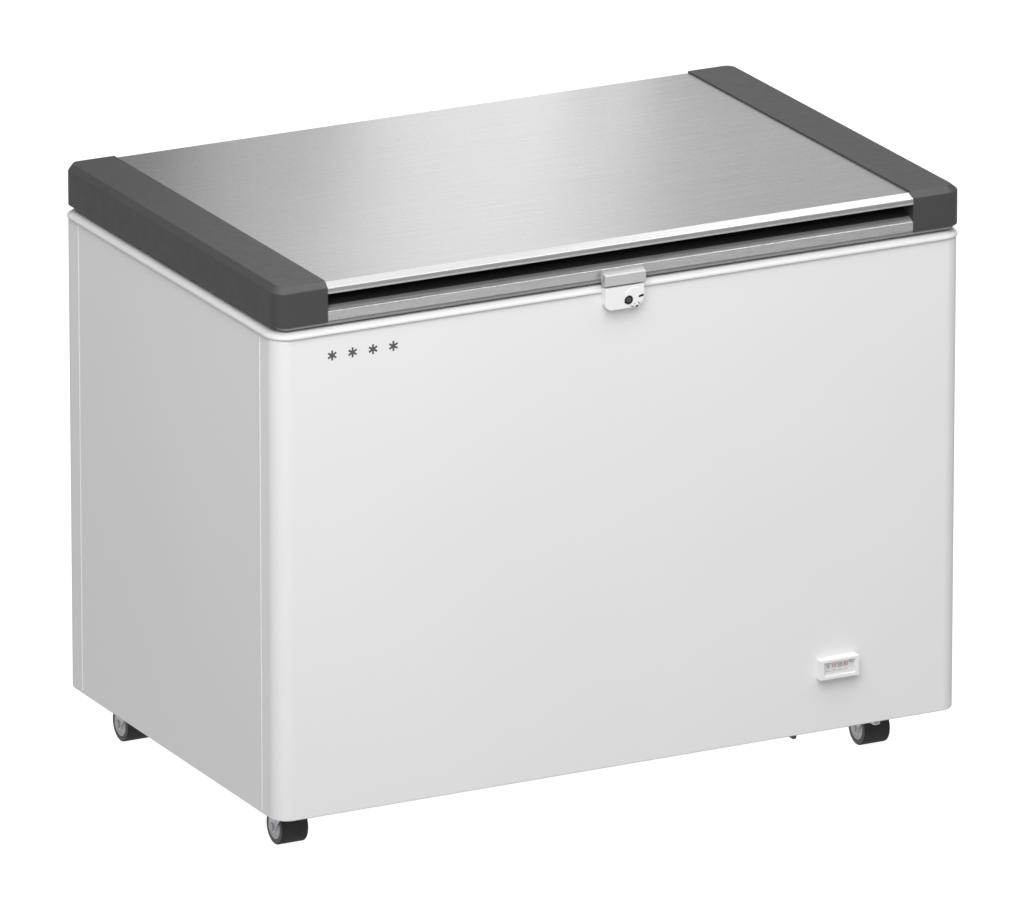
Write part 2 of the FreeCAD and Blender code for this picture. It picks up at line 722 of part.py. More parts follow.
def caster_bolt_places():
    places = []
    for x in (-WHEEL_X, WHEEL_X):
        for y in WHEEL_Y.values():
            for dx in (-BOLT_DX, BOLT_DX):
                for dy in (-BOLT_DY, BOLT_DY):
                    places.append((x + dx, y + dy))
    return places


def caster_fork(x, y):
    """Bolt plate with two tapered legs that hold the axle."""
    half_w = WHEEL_W / 2 + 1.0
    top = BASE_Z + SHEET
    plate = prism(x - 34, x + 34, y - 37, y + 37, 6, FORK_PLATE_Z, top)
    foot_r = 8.5
    leg_points = [(y - 21, top - 1), (y - foot_r, WHEEL_R), (y + foot_r, WHEEL_R), (y + 21, top - 1)]
    legs = []
    for x0 in (x - half_w - FORK_T, x + half_w):
        leg = polygon_x(leg_points, x0, x0 + FORK_T)
        eye = cylinder(foot_r, V(x0, y, WHEEL_R), V(1, 0, 0), FORK_T)
        legs.append(leg.fuse(eye))
    axle = cylinder(AXLE_R, V(x - 60, y, WHEEL_R), V(1, 0, 0), 120)
    holes = [
        cylinder(3.0, V(x + dx, y + dy, FORK_PLATE_Z - 1), V(0, 0, 1), 10)
        for dx in (-BOLT_DX, BOLT_DX)
        for dy in (-BOLT_DY, BOLT_DY)
    ]
    return cut(fuse([plate] + legs), [axle] + holes)


def caster_axle(x, y):
    half_w = WHEEL_W / 2 + 1.0 + FORK_T
    shaft = cylinder(AXLE_R, V(x - half_w, y, WHEEL_R), V(1, 0, 0), 2 * half_w)
    heads = []
    for x0 in (x - half_w - 2.4, x + half_w):
        heads.append(cylinder(6.2, V(x0, y, WHEEL_R), V(1, 0, 0), 2.4))
    return fuse([shaft] + heads)


def caster_hub(x, y):
    disc = cylinder(HUB_R, V(x - WHEEL_W / 2, y, WHEEL_R), V(1, 0, 0), WHEEL_W)
    bore = cylinder(AXLE_R + 0.06, V(x - WHEEL_W / 2 - 1, y, WHEEL_R), V(1, 0, 0), WHEEL_W + 2)
    dishes = []
    for x0 in (x - WHEEL_W / 2 - 1, x + WHEEL_W / 2 - 1.5):
        ring = cylinder(HUB_R - 2.5, V(x0, y, WHEEL_R), V(1, 0, 0), 2.5)
        dishes.append(ring.cut(cylinder(7.0, V(x0 - 1, y, WHEEL_R), V(1, 0, 0), 5)))
    return cut(disc, [bore] + dishes)


def caster_tyre(x, y):
    tyre = cylinder(WHEEL_R, V(x - WHEEL_W / 2, y, WHEEL_R), V(1, 0, 0), WHEEL_W)
    tyre = tyre.makeFillet(4.0, [e for e in tyre.Edges if e.BoundBox.XLength < 1e-6])
    return tyre.cut(cylinder(HUB_R, V(x - WHEEL_W, y, WHEEL_R), V(1, 0, 0), 2 * WHEEL_W))


def caster_bolts():
    solids = []
    for x, y in caster_bolt_places():
        head = cylinder(5.2, V(x, y, FORK_PLATE_Z - 4), V(0, 0, 1), 4)
        shank = cylinder(3.0, V(x, y, FORK_PLATE_Z), V(0, 0, 1), BASE_TOP - FORK_PLATE_Z)
        solids.append(head.fuse(shank))
    return Part.makeCompound(solids)


def casters():
    nodes = {}
    axles = []
    for side, x in (("left", -WHEEL_X), ("right", WHEEL_X)):
        for end, y in WHEEL_Y.items():
            place = end + "_" + side
            nodes["caster_fork_" + place] = caster_fork(x, y)
            nodes["caster_hub_" + place] = caster_hub(x, y)
            nodes["caster_tyre_" + place] = caster_tyre(x, y)
            axles.append(caster_axle(x, y))
    nodes["caster_axles"] = Part.makeCompound(axles)
    nodes["caster_bolts"] = caster_bolts()
    return nodes


# Lid

def top_sheet_path():
    """Front hem, lip, bevel, worktop, rear flange and rear hem of the steel sheet."""
    return [
        (GRIP_DEEP_Y, LIP_LOW),
        (LIP_Y, LIP_LOW),
        (LIP_Y, LIP_BEVEL_Z),
        (LIP_BEND_Y, STEEL_TOP),
        (STEEL_REAR, STEEL_TOP),
        (STEEL_REAR, GRIP_LOW),
        (STEEL_REAR - 20, GRIP_LOW),
    ]


def grip_path():
    """Bottom hem, front strip and sloped floor of the finger recess."""
    return [
        (FRONT + 22, GRIP_LOW),
        (LIP_Y, GRIP_LOW),
        (LIP_Y, GRIP_MOUTH),
        (GRIP_DEEP_Y, GRIP_DEEP_Z),
    ]


def folded_sheet(path, thickness, x0, x1):
    inner = offset_path(path, -thickness)
    return polygon_x(path + inner[::-1], x0, x1)


def lid_top_sheet():
    half = CAP_INNER - STEEL_GAP
    return folded_sheet(top_sheet_path(), STEEL_T, -half, half)


def lid_grip():
    return folded_sheet(grip_path(), GRIP_T, -CAP_INNER, CAP_INNER)


def cap_form(inset):
    """The left end cap's outer form moved inwards: an upright block with a bevelled top."""
    x0, x1 = -CAP_X + inset, -CAP_INNER - inset
    y0, y1 = CAP_FRONT + inset, CAP_REAR - inset
    r = CAP_R - inset
    top = HEIGHT - inset
    side, front = CAP_SIDE_BEVEL, CAP_FRONT_BEVEL
    block = prism(x0, x1, y0, y1, [r, 0, 0, r], CAP_LOW, CAP_BEVEL_Z)
    low = outline(x0, x1, y0, y1, CAP_BEVEL_Z, [r, 0, 0, r])
    high = outline(x0 + side, x1, y0 + front, y1 - 3.0, top, [r * 0.6, 0, 0, r * 0.6])
    return block.fuse(Part.makeLoft([low, high], True, True)).removeSplitter()


def mirrored(shape):
    return shape.mirror(V(0, 0, 0), V(1, 0, 0))


def left_cap():
    opening = box(-CAP_INNER - CAP_T - 1, -CAP_INNER + 1, FRONT + 57, CAP_REAR - CAP_T, CAP_LOW - 1, STEEL_TOP)
    bottom = cap_form(CAP_T)
    room = bottom.fuse(bottom.translated(V(0, 0, -5)))
    footing = box(-CAP_INNER - CAP_T - 1, -CAP_INNER + 1, CAP_FRONT + CAP_T, FRONT + 58, CAP_LOW - 1, UNDER_TOP)
    return cut(cap_form(0.0), [room, opening, footing])


def lid_underframe():
    """Grey plastic ring under the lid; it carries the gasket."""
    y0, y1 = CAP_FRONT + CAP_T, CAP_REAR - CAP_T
    upper = prism(-CAP_X + CAP_T, CAP_X - CAP_T, y0, y1, CAP_R - CAP_T, UNDER_STEP, UNDER_TOP)
    lower = prism(-HALF + 11.6, HALF - 11.6, FRONT + 4, FRONT + 654, 12, UNDER_LOW, UNDER_STEP)
    opening = inset_prism(PLUG_FLANGE, 12, UNDER_LOW - 1, UNDER_TOP + 1)
    groove = inset_prism(GASKET_OUT, 14, UNDER_LOW - 1, GASKET_TOP)
    groove = groove.cut(inset_prism(GASKET_IN, 8, UNDER_LOW - 1, GASKET_TOP))
    return cut(upper.fuse(lower), [opening, groove]).removeSplitter()


def lid_gasket():
    ring = inset_prism(GASKET_OUT, 14, FRAME_TOP, GASKET_TOP)
    return ring.cut(inset_prism(GASKET_IN, 8, FRAME_TOP, GASKET_TOP))


def lid_inner_liner():
    """White tray that closes the lid's underside and dips into the cavity."""
    flange = inset_prism(PLUG_FLANGE, 12, UNDER_LOW, UNDER_LOW + PLUG_T)
    tray = inset_prism(PLUG_INSET, 30, PLUG_LOW, UNDER_LOW + PLUG_T)
    hollow = inset_prism(PLUG_INSET + PLUG_T, 30 - PLUG_T, PLUG_LOW + PLUG_T, UNDER_LOW + PLUG_T + 1)
    return flange.fuse(tray).cut(hollow).removeSplitter()


def lid_foam():
    sheet = offset_path(top_sheet_path(), -STEEL_T)
    grip = offset_path(grip_path(), -GRIP_T)
    bottom = [(STEEL_REAR - 20, UNDER_TOP), (FRONT + 22, UNDER_TOP)]
    middle = polygon_x(grip + sheet + bottom, -CAP_INNER, CAP_INNER)
    low, high = UNDER_TOP, STEEL_TOP - STEEL_T
    end = cap_form(CAP_T).common(box(-HALF, -CAP_INNER - CAP_T, FRONT, REAR, low, high))
    bridge = box(-CAP_INNER - CAP_T, -CAP_INNER, FRONT + 57, STEEL_REAR - STEEL_T, low + 1, high)
    inner = inset_prism(PLUG_FLANGE, 12, UNDER_LOW + PLUG_T, UNDER_TOP)
    plug = inset_prism(PLUG_INSET + PLUG_T, 30 - PLUG_T, PLUG_LOW + PLUG_T, UNDER_TOP)
    return fuse([middle, end, bridge, mirrored(end), mirrored(bridge), inner, plug])


def lid_hasp():
    """Folded strike plate over the lock: sloped top, deep front leg and a slot across it."""
    x0, x1 = LOCK_LEFT - 1.0, LOCK_RIGHT + 2.1
    face = FRONT - HASP_REACH
    plate = [
        (LIP_Y, HASP_TOP),
        (LIP_Y - 1.5, HASP_TOP),
        (face + 1.6, HASP_SHOULDER + 0.9),
        (face, HASP_SHOULDER - 0.8),
        (face, HASP_LOW + 2.0),
        (face + 2.0, HASP_LOW),
        (LIP_Y - 4.0, HASP_LOW),
        (LIP_Y, HASP_LOW + 4.0),
    ]
    slot = [
        (face + 3.3, HASP_LOW + 3.0),
        (face + 6.9, HASP_LOW + 3.0),
        (face + 6.9, HASP_TOP - 5.0),
        (face + 3.3, HASP_TOP - 6.6),
    ]
    return polygon_x(plate, x0, x1).cut(polygon_x(slot, x0 - 1, x1 + 1))


# Hinges

def hinge_base(x):
    """Channel on the rear sheet with two cheeks that hold the pin."""
    half_w = HINGE_W / 2
    plate = box(x - half_w - 14, x + half_w + 14, PANEL_REAR, PANEL_REAR + 2, HINGE_LOW, FRAME_LOW - 2)
    cheek_points = [
        (PANEL_REAR + 1, HINGE_LOW),
        (HINGE_REAR, HINGE_LOW + 14),
        (HINGE_REAR, HINGE_Z - 16),
        (HINGE_Y + CHEEK_R, HINGE_Z),
        (HINGE_Y - 9.0, HINGE_Z),
        (HINGE_Y - 9.0, FRAME_LOW - 2),
        (PANEL_REAR + 1, FRAME_LOW - 2),
    ]
    parts = [plate]
    for x0 in (x - half_w, x + half_w - CHEEK_T):
        cheek = polygon_x(cheek_points, x0, x0 + CHEEK_T)
        head = cylinder(9.0, V(x0, HINGE_Y, HINGE_Z), V(1, 0, 0), CHEEK_T)
        parts.append(cheek.fuse(head))
    seat = box(x - half_w, x + half_w, PANEL_REAR + 1, HINGE_REAR - 4, HINGE_LOW + 14, HINGE_LOW + 16)
    parts.append(seat)
    pin = cylinder(PIN_R, V(x - 60, HINGE_Y, HINGE_Z), V(1, 0, 0), 120)
    holes = [
        cylinder(2.5, V(x + sx * (half_w + 7), PANEL_REAR - 1, z), V(0, 1, 0), 10)
        for sx in (-1, 1)
        for z in (HINGE_LOW + 20, FRAME_LOW - 25)
    ]
    return cut(fuse(parts), [pin] + holes)


def hinge_screws():
    solids = []
    for x in HINGE_X:
        for sx in (-1, 1):
            for z in (HINGE_LOW + 20, FRAME_LOW - 25):
                at = V(x + sx * (HINGE_W / 2 + 7), PANEL_REAR + 2, z)
                solids.append(screw(at, V(0, 1, 0), 4.5, 2.6, 2.5, 2.0))
    return Part.makeCompound(solids)


def hinge_pins():
    solids = []
    for x in HINGE_X:
        half_w = HINGE_W / 2
        shaft = cylinder(PIN_R, V(x - half_w, HINGE_Y, HINGE_Z), V(1, 0, 0), HINGE_W)
        heads = []
        for x0 in (x - half_w - 2, x + half_w):
            heads.append(cylinder(6.0, V(x0, HINGE_Y, HINGE_Z), V(1, 0, 0), 2))
        solids.append(fuse([shaft] + heads))
    return Part.makeCompound(solids)


def hinge_arm(x):
    """Plate on the lid's rear flange with two lugs round the pin."""
    y0 = STEEL_REAR
    plate = box(x - 30, x + 30, y0, y0 + 2.5, 778, 818)
    lug_points = [(y0 + 1, 782), (y0 + 1, 814), (HINGE_Y + 7.4, HINGE_Z + 5), (HINGE_Y - 7.4, HINGE_Z - 5)]
    parts = [plate]
    for x0 in (x - 14 - LUG_T, x + 14):
        web = polygon_x(lug_points, x0, x0 + LUG_T)
        eye = cylinder(LUG_R, V(x0, HINGE_Y, HINGE_Z), V(1, 0, 0), LUG_T)
        parts.append(web.fuse(eye))
    bore = cylinder(PIN_R + PIN_ROOM, V(x - 60, HINGE_Y, HINGE_Z), V(1, 0, 0), 120)
    holes = [
        cylinder(2.5, V(x + dx, y0 - 1, z), V(0, 1, 0), 10)
        for dx in (-24, 24)
        for z in (786, 810)
    ]
    return cut(fuse(parts), [bore] + holes)


def hinge_arm_screws():
    solids = []
    for x in HINGE_X:
        for dx in (-24, 24):
            for z in (786, 810):
                solids.append(screw(V(x + dx, STEEL_REAR + 2.5, z), V(0, 1, 0), 4.5, 2.4, 2.5, 2.5))
    return Part.makeCompound(solids)


def hinge_springs():
    """Counterbalance coil springs standing in the hinge channels."""
    solids = []
    wire_r, coil_r, pitch, height = 1.4, 8.0, 6.0, 66.0
    for x in HINGE_X:
        base = V(x, PANEL_REAR + 14.0, HINGE_LOW + 16 + wire_r + 0.2)
        helix = Part.makeHelix(pitch, height, coil_r)
        helix.translate(base)
        start = base + V(coil_r, 0, 0)
        profile = Part.Wire(Part.makeCircle(wire_r, start, V(0, 1, 0)))
        solids.append(Part.Wire(helix.Edges).makePipeShell([profile], True, True))
    return Part.makeCompound(solids)


def build():
    cap = left_cap()
    nodes = {
        "base_plate": base_plate(),
        "top_frame": top_frame(),
        "inner_liner": inner_liner(),
        "cabinet_foam": cabinet_foam(),
        "evaporator_coil": evaporator_coil(),
        "condenser_coil": condenser_coil(),
        "compressor": compressor(),
        "compressor_base": compressor_base(),
        "compressor_grommets": compressor_grommets(),
        "relay_cover": relay_cover(),
        "filter_drier": filter_drier(),
        "refrigerant_lines": Part.makeCompound([suction_line(), discharge_line()]),
        "side_grille": side_grille(),
        "grille_screws": grille_screws(),
        "thermostat_knob": thermostat_knob(),
        "power_inlet": power_inlet(),
        "drain_plug": drain_plug(),
        "drain_pipe": drain_pipe(),
        "drain_spout": drain_spout(),
        "base_stop": base_stop(),
        "lock_housing": lock_housing(),
        "lock_cylinder": lock_cylinder(),
        "lid_top_sheet": lid_top_sheet(),
        "lid_grip": lid_grip(),
        "lid_end_cap_left": cap,
        "lid_end_cap_right": mirrored(cap),
        "lid_underframe": lid_underframe(),
        "lid_gasket": lid_gasket(),
        "lid_inner_liner": lid_inner_liner(),
        "lid_foam": lid_foam(),
        "lid_hasp": lid_hasp(),
        "hinge_base_left": hinge_base(HINGE_X[0]),
        "hinge_base_right": hinge_base(HINGE_X[1]),
        "hinge_pins": hinge_pins(),
        "hinge_screws": hinge_screws(),
        "hinge_springs": hinge_springs(),
        "hinge_arm_left": hinge_arm(HINGE_X[0]),
        "hinge_arm_right": hinge_arm(HINGE_X[1]),
        "hinge_arm_screws": hinge_arm_screws(),
    }
    nodes.update(cabinet_sheets())
    nodes.update(thermometer())
    nodes.update(casters())
    return nodes


os.makedirs("parts", exist_ok=True)
for node, shape in build().items():
    solids = len(shape.Solids)
    print(node, "solids", solids, "valid", shape.isValid(), "volume", round(shape.Volume))
    shape.exportStep("parts/" + node + ".step")
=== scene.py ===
"""Looks of the chest freezer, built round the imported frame. Lengths in the helpers are millimetres."""
import math

import bpy
import bmesh
from mathutils import Matrix, Vector


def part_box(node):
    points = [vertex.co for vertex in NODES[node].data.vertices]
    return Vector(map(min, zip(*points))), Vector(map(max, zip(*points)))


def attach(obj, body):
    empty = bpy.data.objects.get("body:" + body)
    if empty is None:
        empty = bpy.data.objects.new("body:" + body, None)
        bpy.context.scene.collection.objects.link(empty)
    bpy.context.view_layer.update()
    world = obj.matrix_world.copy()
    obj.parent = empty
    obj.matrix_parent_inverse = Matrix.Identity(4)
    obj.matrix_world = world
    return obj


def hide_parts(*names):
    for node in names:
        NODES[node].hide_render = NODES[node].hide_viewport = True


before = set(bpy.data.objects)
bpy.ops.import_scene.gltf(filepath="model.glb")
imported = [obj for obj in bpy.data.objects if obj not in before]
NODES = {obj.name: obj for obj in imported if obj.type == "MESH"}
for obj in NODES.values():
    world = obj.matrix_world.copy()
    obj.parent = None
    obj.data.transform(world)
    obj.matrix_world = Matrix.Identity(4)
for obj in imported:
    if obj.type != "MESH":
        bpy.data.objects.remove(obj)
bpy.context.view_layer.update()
MM = 0.001


def low(node):
    """Lowest corner of a CAD node, in millimetres."""
    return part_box(node)[0] / MM


def high(node):
    """Highest corner of a CAD node, in millimetres."""
    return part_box(node)[1] / MM


# Places taken from the frame, and the few sizes that it doesn't give

FRAME_LOW, FRAME_HIGH = low("top_frame"), high("top_frame")
HALF = FRAME_HIGH.x
FRONT = FRAME_LOW.y
REAR = FRAME_HIGH.y
FRAME_TOP = FRAME_HIGH.z
FRAME_R = 30.0
PANEL_X = high("right_side_panel").x
PANEL_FRONT = low("front_panel").y
PANEL_REAR = high("rear_panel").y
PANEL_TOP = high("front_panel").z
FOAM_TOP = high("cabinet_foam").z
BASE_Z = low("front_panel").z
CORNER_R = 24.8
SHEET = 0.8
HEM = 14.0
SEAM_GAP = 0.3
SEAM_FRONT = high("front_panel").y + SEAM_GAP
SEAM_REAR = low("rear_panel").y - SEAM_GAP
CAP_LOW, CAP_HIGH = low("lid_end_cap_left"), high("lid_end_cap_left")
STEEL_LOW, STEEL_HIGH = low("lid_top_sheet"), high("lid_top_sheet")
CAP_INNER = -CAP_HIGH.x
GRIP_LOW, GRIP_HIGH = low("lid_grip"), high("lid_grip")


# Mesh helpers

def fillet(points, radii, steps=5):
    """The closed 2-D outline with its corners rounded."""
    count = len(points)
    if not isinstance(radii, (list, tuple)):
        radii = [radii] * count
    rounded = []
    for index in range(count):
        here = Vector(points[index])
        r = radii[index]
        if r <= 0:
            rounded.append(tuple(here))
            continue
        before = Vector(points[index - 1]) - here
        after = Vector(points[(index + 1) % count]) - here
        half = before.angle(after) / 2
        reach = r / math.tan(half)
        centre = here + (before.normalized() + after.normalized()).normalized() * (r / math.sin(half))
        first = here + before.normalized() * reach - centre
        last = here + after.normalized() * reach - centre
        turn = first.angle_signed(last)
        for step in range(steps + 1):
            angle = -turn * step / steps
            spot = Matrix.Rotation(angle, 2) @ first
            rounded.append(tuple(centre + spot))
    return rounded


def rounded_loop(x0, x1, y0, y1, radii, steps=8):
    """A rounded rectangle, anticlockwise from the front-left corner."""
    if not isinstance(radii, (list, tuple)):
        radii = [radii] * 4
    radii = [max(r, 0.05) for r in radii]
    return fillet([(x0, y0), (x1, y0), (x1, y1), (x0, y1)], radii, steps)


def inset_loop(inset, z, radius, steps=8):
    """A loop that stands inside the top frame's outline, as 3-D points."""
    flat = rounded_loop(-HALF + inset, HALF - inset, FRONT + inset, REAR - inset, radius, steps)
    return [(x, y, z) for x, y in flat]


def mesh_piece(name, verts, faces):
    """A mesh object in metres from points in millimetres, with outward normals."""
    mesh = bpy.data.meshes.new(name)
    mesh.from_pydata([Vector(v) * MM for v in verts], [], faces)
    work = bmesh.new()
    work.from_mesh(mesh)
    bmesh.ops.remove_doubles(work, verts=work.verts, dist=1e-6)
    bmesh.ops.recalc_face_normals(work, faces=work.faces)
    work.to_mesh(mesh)
    work.free()
    piece = bpy.data.objects.new(name, mesh)
    bpy.context.scene.collection.objects.link(piece)
    return piece


def loft(name, loops, ring=False):
    """Skins closed loops. A ring joins the last loop to the first; otherwise both ends are capped."""
    count = len(loops[0])
    verts = [p for loop in loops for p in loop]
    faces = []
    for row in range(len(loops) if ring else len(loops) - 1):
        a = row * count
        b = ((row + 1) % len(loops)) * count
        for i in range(count):
            j = (i + 1) % count
            faces.append((a + i, a + j, b + j, b + i))
    if not ring:
        faces.append(tuple(range(count))[::-1])
        faces.append(tuple((len(loops) - 1) * count + i for i in range(count)))
    return mesh_piece(name, verts, faces)


def extrude_x(name, profile, x0, x1):
    """A (y, z) outline run along X."""
    return loft(name, [[(x, y, z) for y, z in profile] for x in (x0, x1)])


def extrude_y(name, profile, y0, y1):
    """An (x, z) outline run along Y."""
    return loft(name, [[(x, y, z) for x, z in profile] for y in (y0, y1)])


def extrude_z(name, profile, z0, z1):
    """An (x, y) outline run along Z."""
    return loft(name, [[(x, y, z) for x, y in profile] for z in (z0, z1)])


def turned(name, profile, centre, axis, steps=48):
    """A closed (distance along axis, radius) outline turned about an axis through centre."""
    axis = Vector(axis)
    side = Vector((0, 0, 1)) if abs(axis.z) < 0.5 else Vector((1, 0, 0))
    other = axis.cross(side)
    loops = []
    for step in range(steps):
        angle = 2 * math.pi * step / steps
        out = side * math.cos(angle) + other * math.sin(angle)
        loops.append([tuple(Vector(centre) + axis * a + out * r) for a, r in profile])
    return loft(name, loops, ring=True)


def join(name, pieces):
    """Several meshes as one object."""
    whole = bmesh.new()
    for piece in pieces:
        whole.from_mesh(piece.data)
        bpy.data.objects.remove(piece)
    mesh = bpy.data.meshes.new(name)
    whole.to_mesh(mesh)
    whole.free()
    joined = bpy.data.objects.new(name, mesh)
    bpy.context.scene.collection.objects.link(joined)
    return joined


def applied(piece):
    """The piece with its modifiers turned into mesh."""
    bpy.context.view_layer.update()
    graph = bpy.context.evaluated_depsgraph_get()
    mesh = bpy.data.meshes.new_from_object(piece.evaluated_get(graph))
    piece.modifiers.clear()
    piece.data = mesh
    return piece


def carve(piece, tools):
    """Cuts the tools out of the piece."""
    for tool in tools:
        change = piece.modifiers.new("cut", "BOOLEAN")
        change.operation = "DIFFERENCE"
        change.solver = "EXACT"
        change.object = tool
        applied(piece)
        bpy.data.objects.remove(tool)
    return piece


def block(name, x0, x1, y0, y1, z0, z1):
    """An upright box between two corners."""
    return extrude_z(name, [(x0, y0), (x1, y0), (x1, y1), (x0, y1)], z0, z1)


def lay_grain(mesh):
    """A UV layer whose first axis runs along X, the brushing direction, and second round the section."""
    layer = mesh.uv_layers.new(name="grain")
    for loop in mesh.loops:
        x, y, z = mesh.vertices[loop.vertex_index].co
        layer.data[loop.index].uv = (x, y + 0.7 * z)


def finish_piece(piece, body, material, replaces=(), bevel=0.0, segments=2, angle=35.0):
    """Rounds the sharp edges, shades the mesh smooth, gives it its material and puts it on its body."""
    if bevel > 0:
        change = piece.modifiers.new("edges", "BEVEL")
        change.width = bevel * MM
        change.segments = segments
        change.limit_method = "ANGLE"
        change.angle_limit = math.radians(angle)
        applied(piece)
    mesh = piece.data
    lay_grain(mesh)
    mesh.polygons.foreach_set("use_smooth", [True] * len(mesh.polygons))
    mesh.set_sharp_from_angle(angle=math.radians(angle))
    weights = piece.modifiers.new("normals", "WEIGHTED_NORMAL")
    weights.keep_sharp = True
    mesh.materials.clear()
    mesh.materials.append(material)
    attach(piece, body)
    if replaces:
        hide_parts(*replaces)
    return piece


# Materials

class Finish:
    """A Principled material with small helpers for procedural detail in object space."""

    def __init__(self, name, roughness=0.5, metallic=0.0, **sockets):
        self.material = bpy.data.materials.new(name)
        self.material.use_nodes = True
        self.tree = self.material.node_tree
        self.shader = self.tree.nodes["Principled BSDF"]
        self.shader.inputs["Roughness"].default_value = roughness
        self.shader.inputs["Metallic"].default_value = metallic
        for socket, value in sockets.items():
            self.shader.inputs[socket.replace("_", " ")].default_value = value
        self.place = self.tree.nodes.new("ShaderNodeTexCoord").outputs["Object"]
        self.height = None

    def stretched(self, scale):
        """Object coordinates scaled by a different factor along each axis."""
        mapping = self.tree.nodes.new("ShaderNodeMapping")
        mapping.inputs["Scale"].default_value = scale
        self.tree.links.new(self.place, mapping.inputs["Vector"])
        return mapping.outputs["Vector"]

    def noise(self, scale, detail=3.0, stretch=None):
        """Fractal noise, as a value."""
        node = self.tree.nodes.new("ShaderNodeTexNoise")
        node.inputs["Scale"].default_value = scale
        node.inputs["Detail"].default_value = detail
        source = self.stretched(stretch) if stretch else self.place
        self.tree.links.new(source, node.inputs["Vector"])
        return node.outputs["Fac"]

    def cells(self, scale, feature="F1"):
        """Distance to the nearest of many scattered points."""
        node = self.tree.nodes.new("ShaderNodeTexVoronoi")
        node.feature = feature
        node.inputs["Scale"].default_value = scale
        self.tree.links.new(self.place, node.inputs["Vector"])
        return node.outputs["Distance"]

    def ramp(self, source, stops, socket=None):
        """A colour ramp of (position, grey or colour) stops."""
        node = self.tree.nodes.new("ShaderNodeValToRGB")
        elements = node.color_ramp.elements
        while len(elements) < len(stops):
            elements.new(0.5)
        for element, (position, value) in zip(elements, stops):
            element.position = position
            colour = value if isinstance(value, (list, tuple)) else (value, value, value)
            element.color = (*colour, 1.0)
        self.tree.links.new(source, node.inputs["Fac"])
        if socket:
            self.tree.links.new(node.outputs["Color"], self.shader.inputs[socket])
        return node.outputs["Color"]

    def blend(self, kind, first, second, factor=1.0, socket=None):
        """Two colours combined."""
        node = self.tree.nodes.new("ShaderNodeMix")
        node.data_type = "RGBA"
        node.blend_type = kind
        node.inputs["Factor"].default_value = factor
        self.tree.links.new(first, node.inputs["A"])
        self.tree.links.new(second, node.inputs["B"])
        if socket:
            self.tree.links.new(node.outputs["Result"], self.shader.inputs[socket])
        return node.outputs["Result"]

    def bump(self, source, strength, distance):
        """Adds a height to the surface; several heights stack."""
        node = self.tree.nodes.new("ShaderNodeBump")
        node.inputs["Strength"].default_value = strength
        node.inputs["Distance"].default_value = distance
        self.tree.links.new(source, node.inputs["Height"])
        if self.height:
            self.tree.links.new(self.height, node.inputs["Normal"])
        self.height = node.outputs["Normal"]
        self.tree.links.new(self.height, self.shader.inputs["Normal"])
        return self


def shade(value, spread):
    """Three ramp stops around a grey or a colour, for gentle variation."""
    colour = value if isinstance(value, (list, tuple)) else (value, value, value)
    return [
        (0.3, tuple(c * (1 - spread) for c in colour)),
        (0.5, tuple(colour)),
        (0.7, tuple(c * (1 + spread) for c in colour)),
    ]


def painted(name, colour, roughness=0.32):
    """Baked enamel: faint orange peel and a slow drift of tone."""
    finish = Finish(name, roughness)
    finish.ramp(finish.noise(2.2, 2.0), shade(colour, 0.012), "Base Color")
    finish.ramp(finish.noise(30.0, 2.0), shade(roughness, 0.06), "Roughness")
    finish.bump(finish.noise(420.0, 2.0), 0.04, 0.0003)
    return finish.material


def moulded(name, colour, roughness, grain, spread):
    """Injection moulded plastic with a fine spark-eroded grain."""
    finish = Finish(name, roughness)
    finish.ramp(finish.noise(9.0, 3.0), shade(colour, spread), "Base Color")
    finish.ramp(finish.noise(60.0, 2.0), shade(roughness, 0.08), "Roughness")
    finish.bump(finish.noise(1500.0, 2.0), grain, 0.0003)
    return finish.material


def brushed(name, bright, stretch, roughness, contrast, metallic=1.0):
    """Stainless steel brushed one way, with short soft streaks and a slow drift of tone."""
    finish = Finish(name, roughness, metallic)
    streaks = finish.noise(1.0, 3.0, stretch)
    fine = finish.noise(1.0, 2.0, tuple(s * 2.7 for s in stretch))
    drift = finish.noise(1.7, 1.0)
    coarse_tone = finish.ramp(streaks, shade(bright, contrast))
    fine_tone = finish.ramp(fine, shade(1.0, contrast * 0.8))
    tone = finish.blend("MULTIPLY", coarse_tone, fine_tone)
    finish.blend("MULTIPLY", tone, finish.ramp(drift, shade(0.97, 0.03)), socket="Base Color")
    finish.ramp(fine, shade(roughness, 0.16), "Roughness")
    finish.bump(streaks, 0.04, 0.0002)
    finish.bump(fine, 0.03, 0.0001)
    finish.shader.inputs["Anisotropic"].default_value = 0.85
    grain = finish.tree.nodes.new("ShaderNodeTangent")
    grain.direction_type = "UV_MAP"
    grain.uv_map = "grain"
    finish.tree.links.new(grain.outputs["Tangent"], finish.shader.inputs["Tangent"])
    return finish.material


def galvanised(name, colour):
    """Zinc-coated sheet with soft spangle."""
    roughness = 0.42
    finish = Finish(name, roughness, 0.40)
    distance = finish.cells(140.0)
    tone = finish.ramp(distance, shade(colour, 0.10))
    finish.blend("MULTIPLY", tone, finish.ramp(finish.noise(25.0), shade(1.0, 0.06)), socket="Base Color")
    finish.ramp(distance, shade(roughness, 0.14), "Roughness")
    finish.bump(finish.noise(600.0), 0.06, 0.0002)
    return finish.material


def rubbery(name, colour, roughness=0.72):
    """Matt rubber with a fine pebbled skin and dust in the pores."""
    finish = Finish(name, roughness)
    finish.ramp(finish.noise(45.0, 4.0), shade(colour, 0.16), "Base Color")
    finish.ramp(finish.noise(25.0), shade(roughness, 0.08), "Roughness")
    finish.bump(finish.noise(900.0, 2.0), 0.18, 0.0004)
    return finish.material


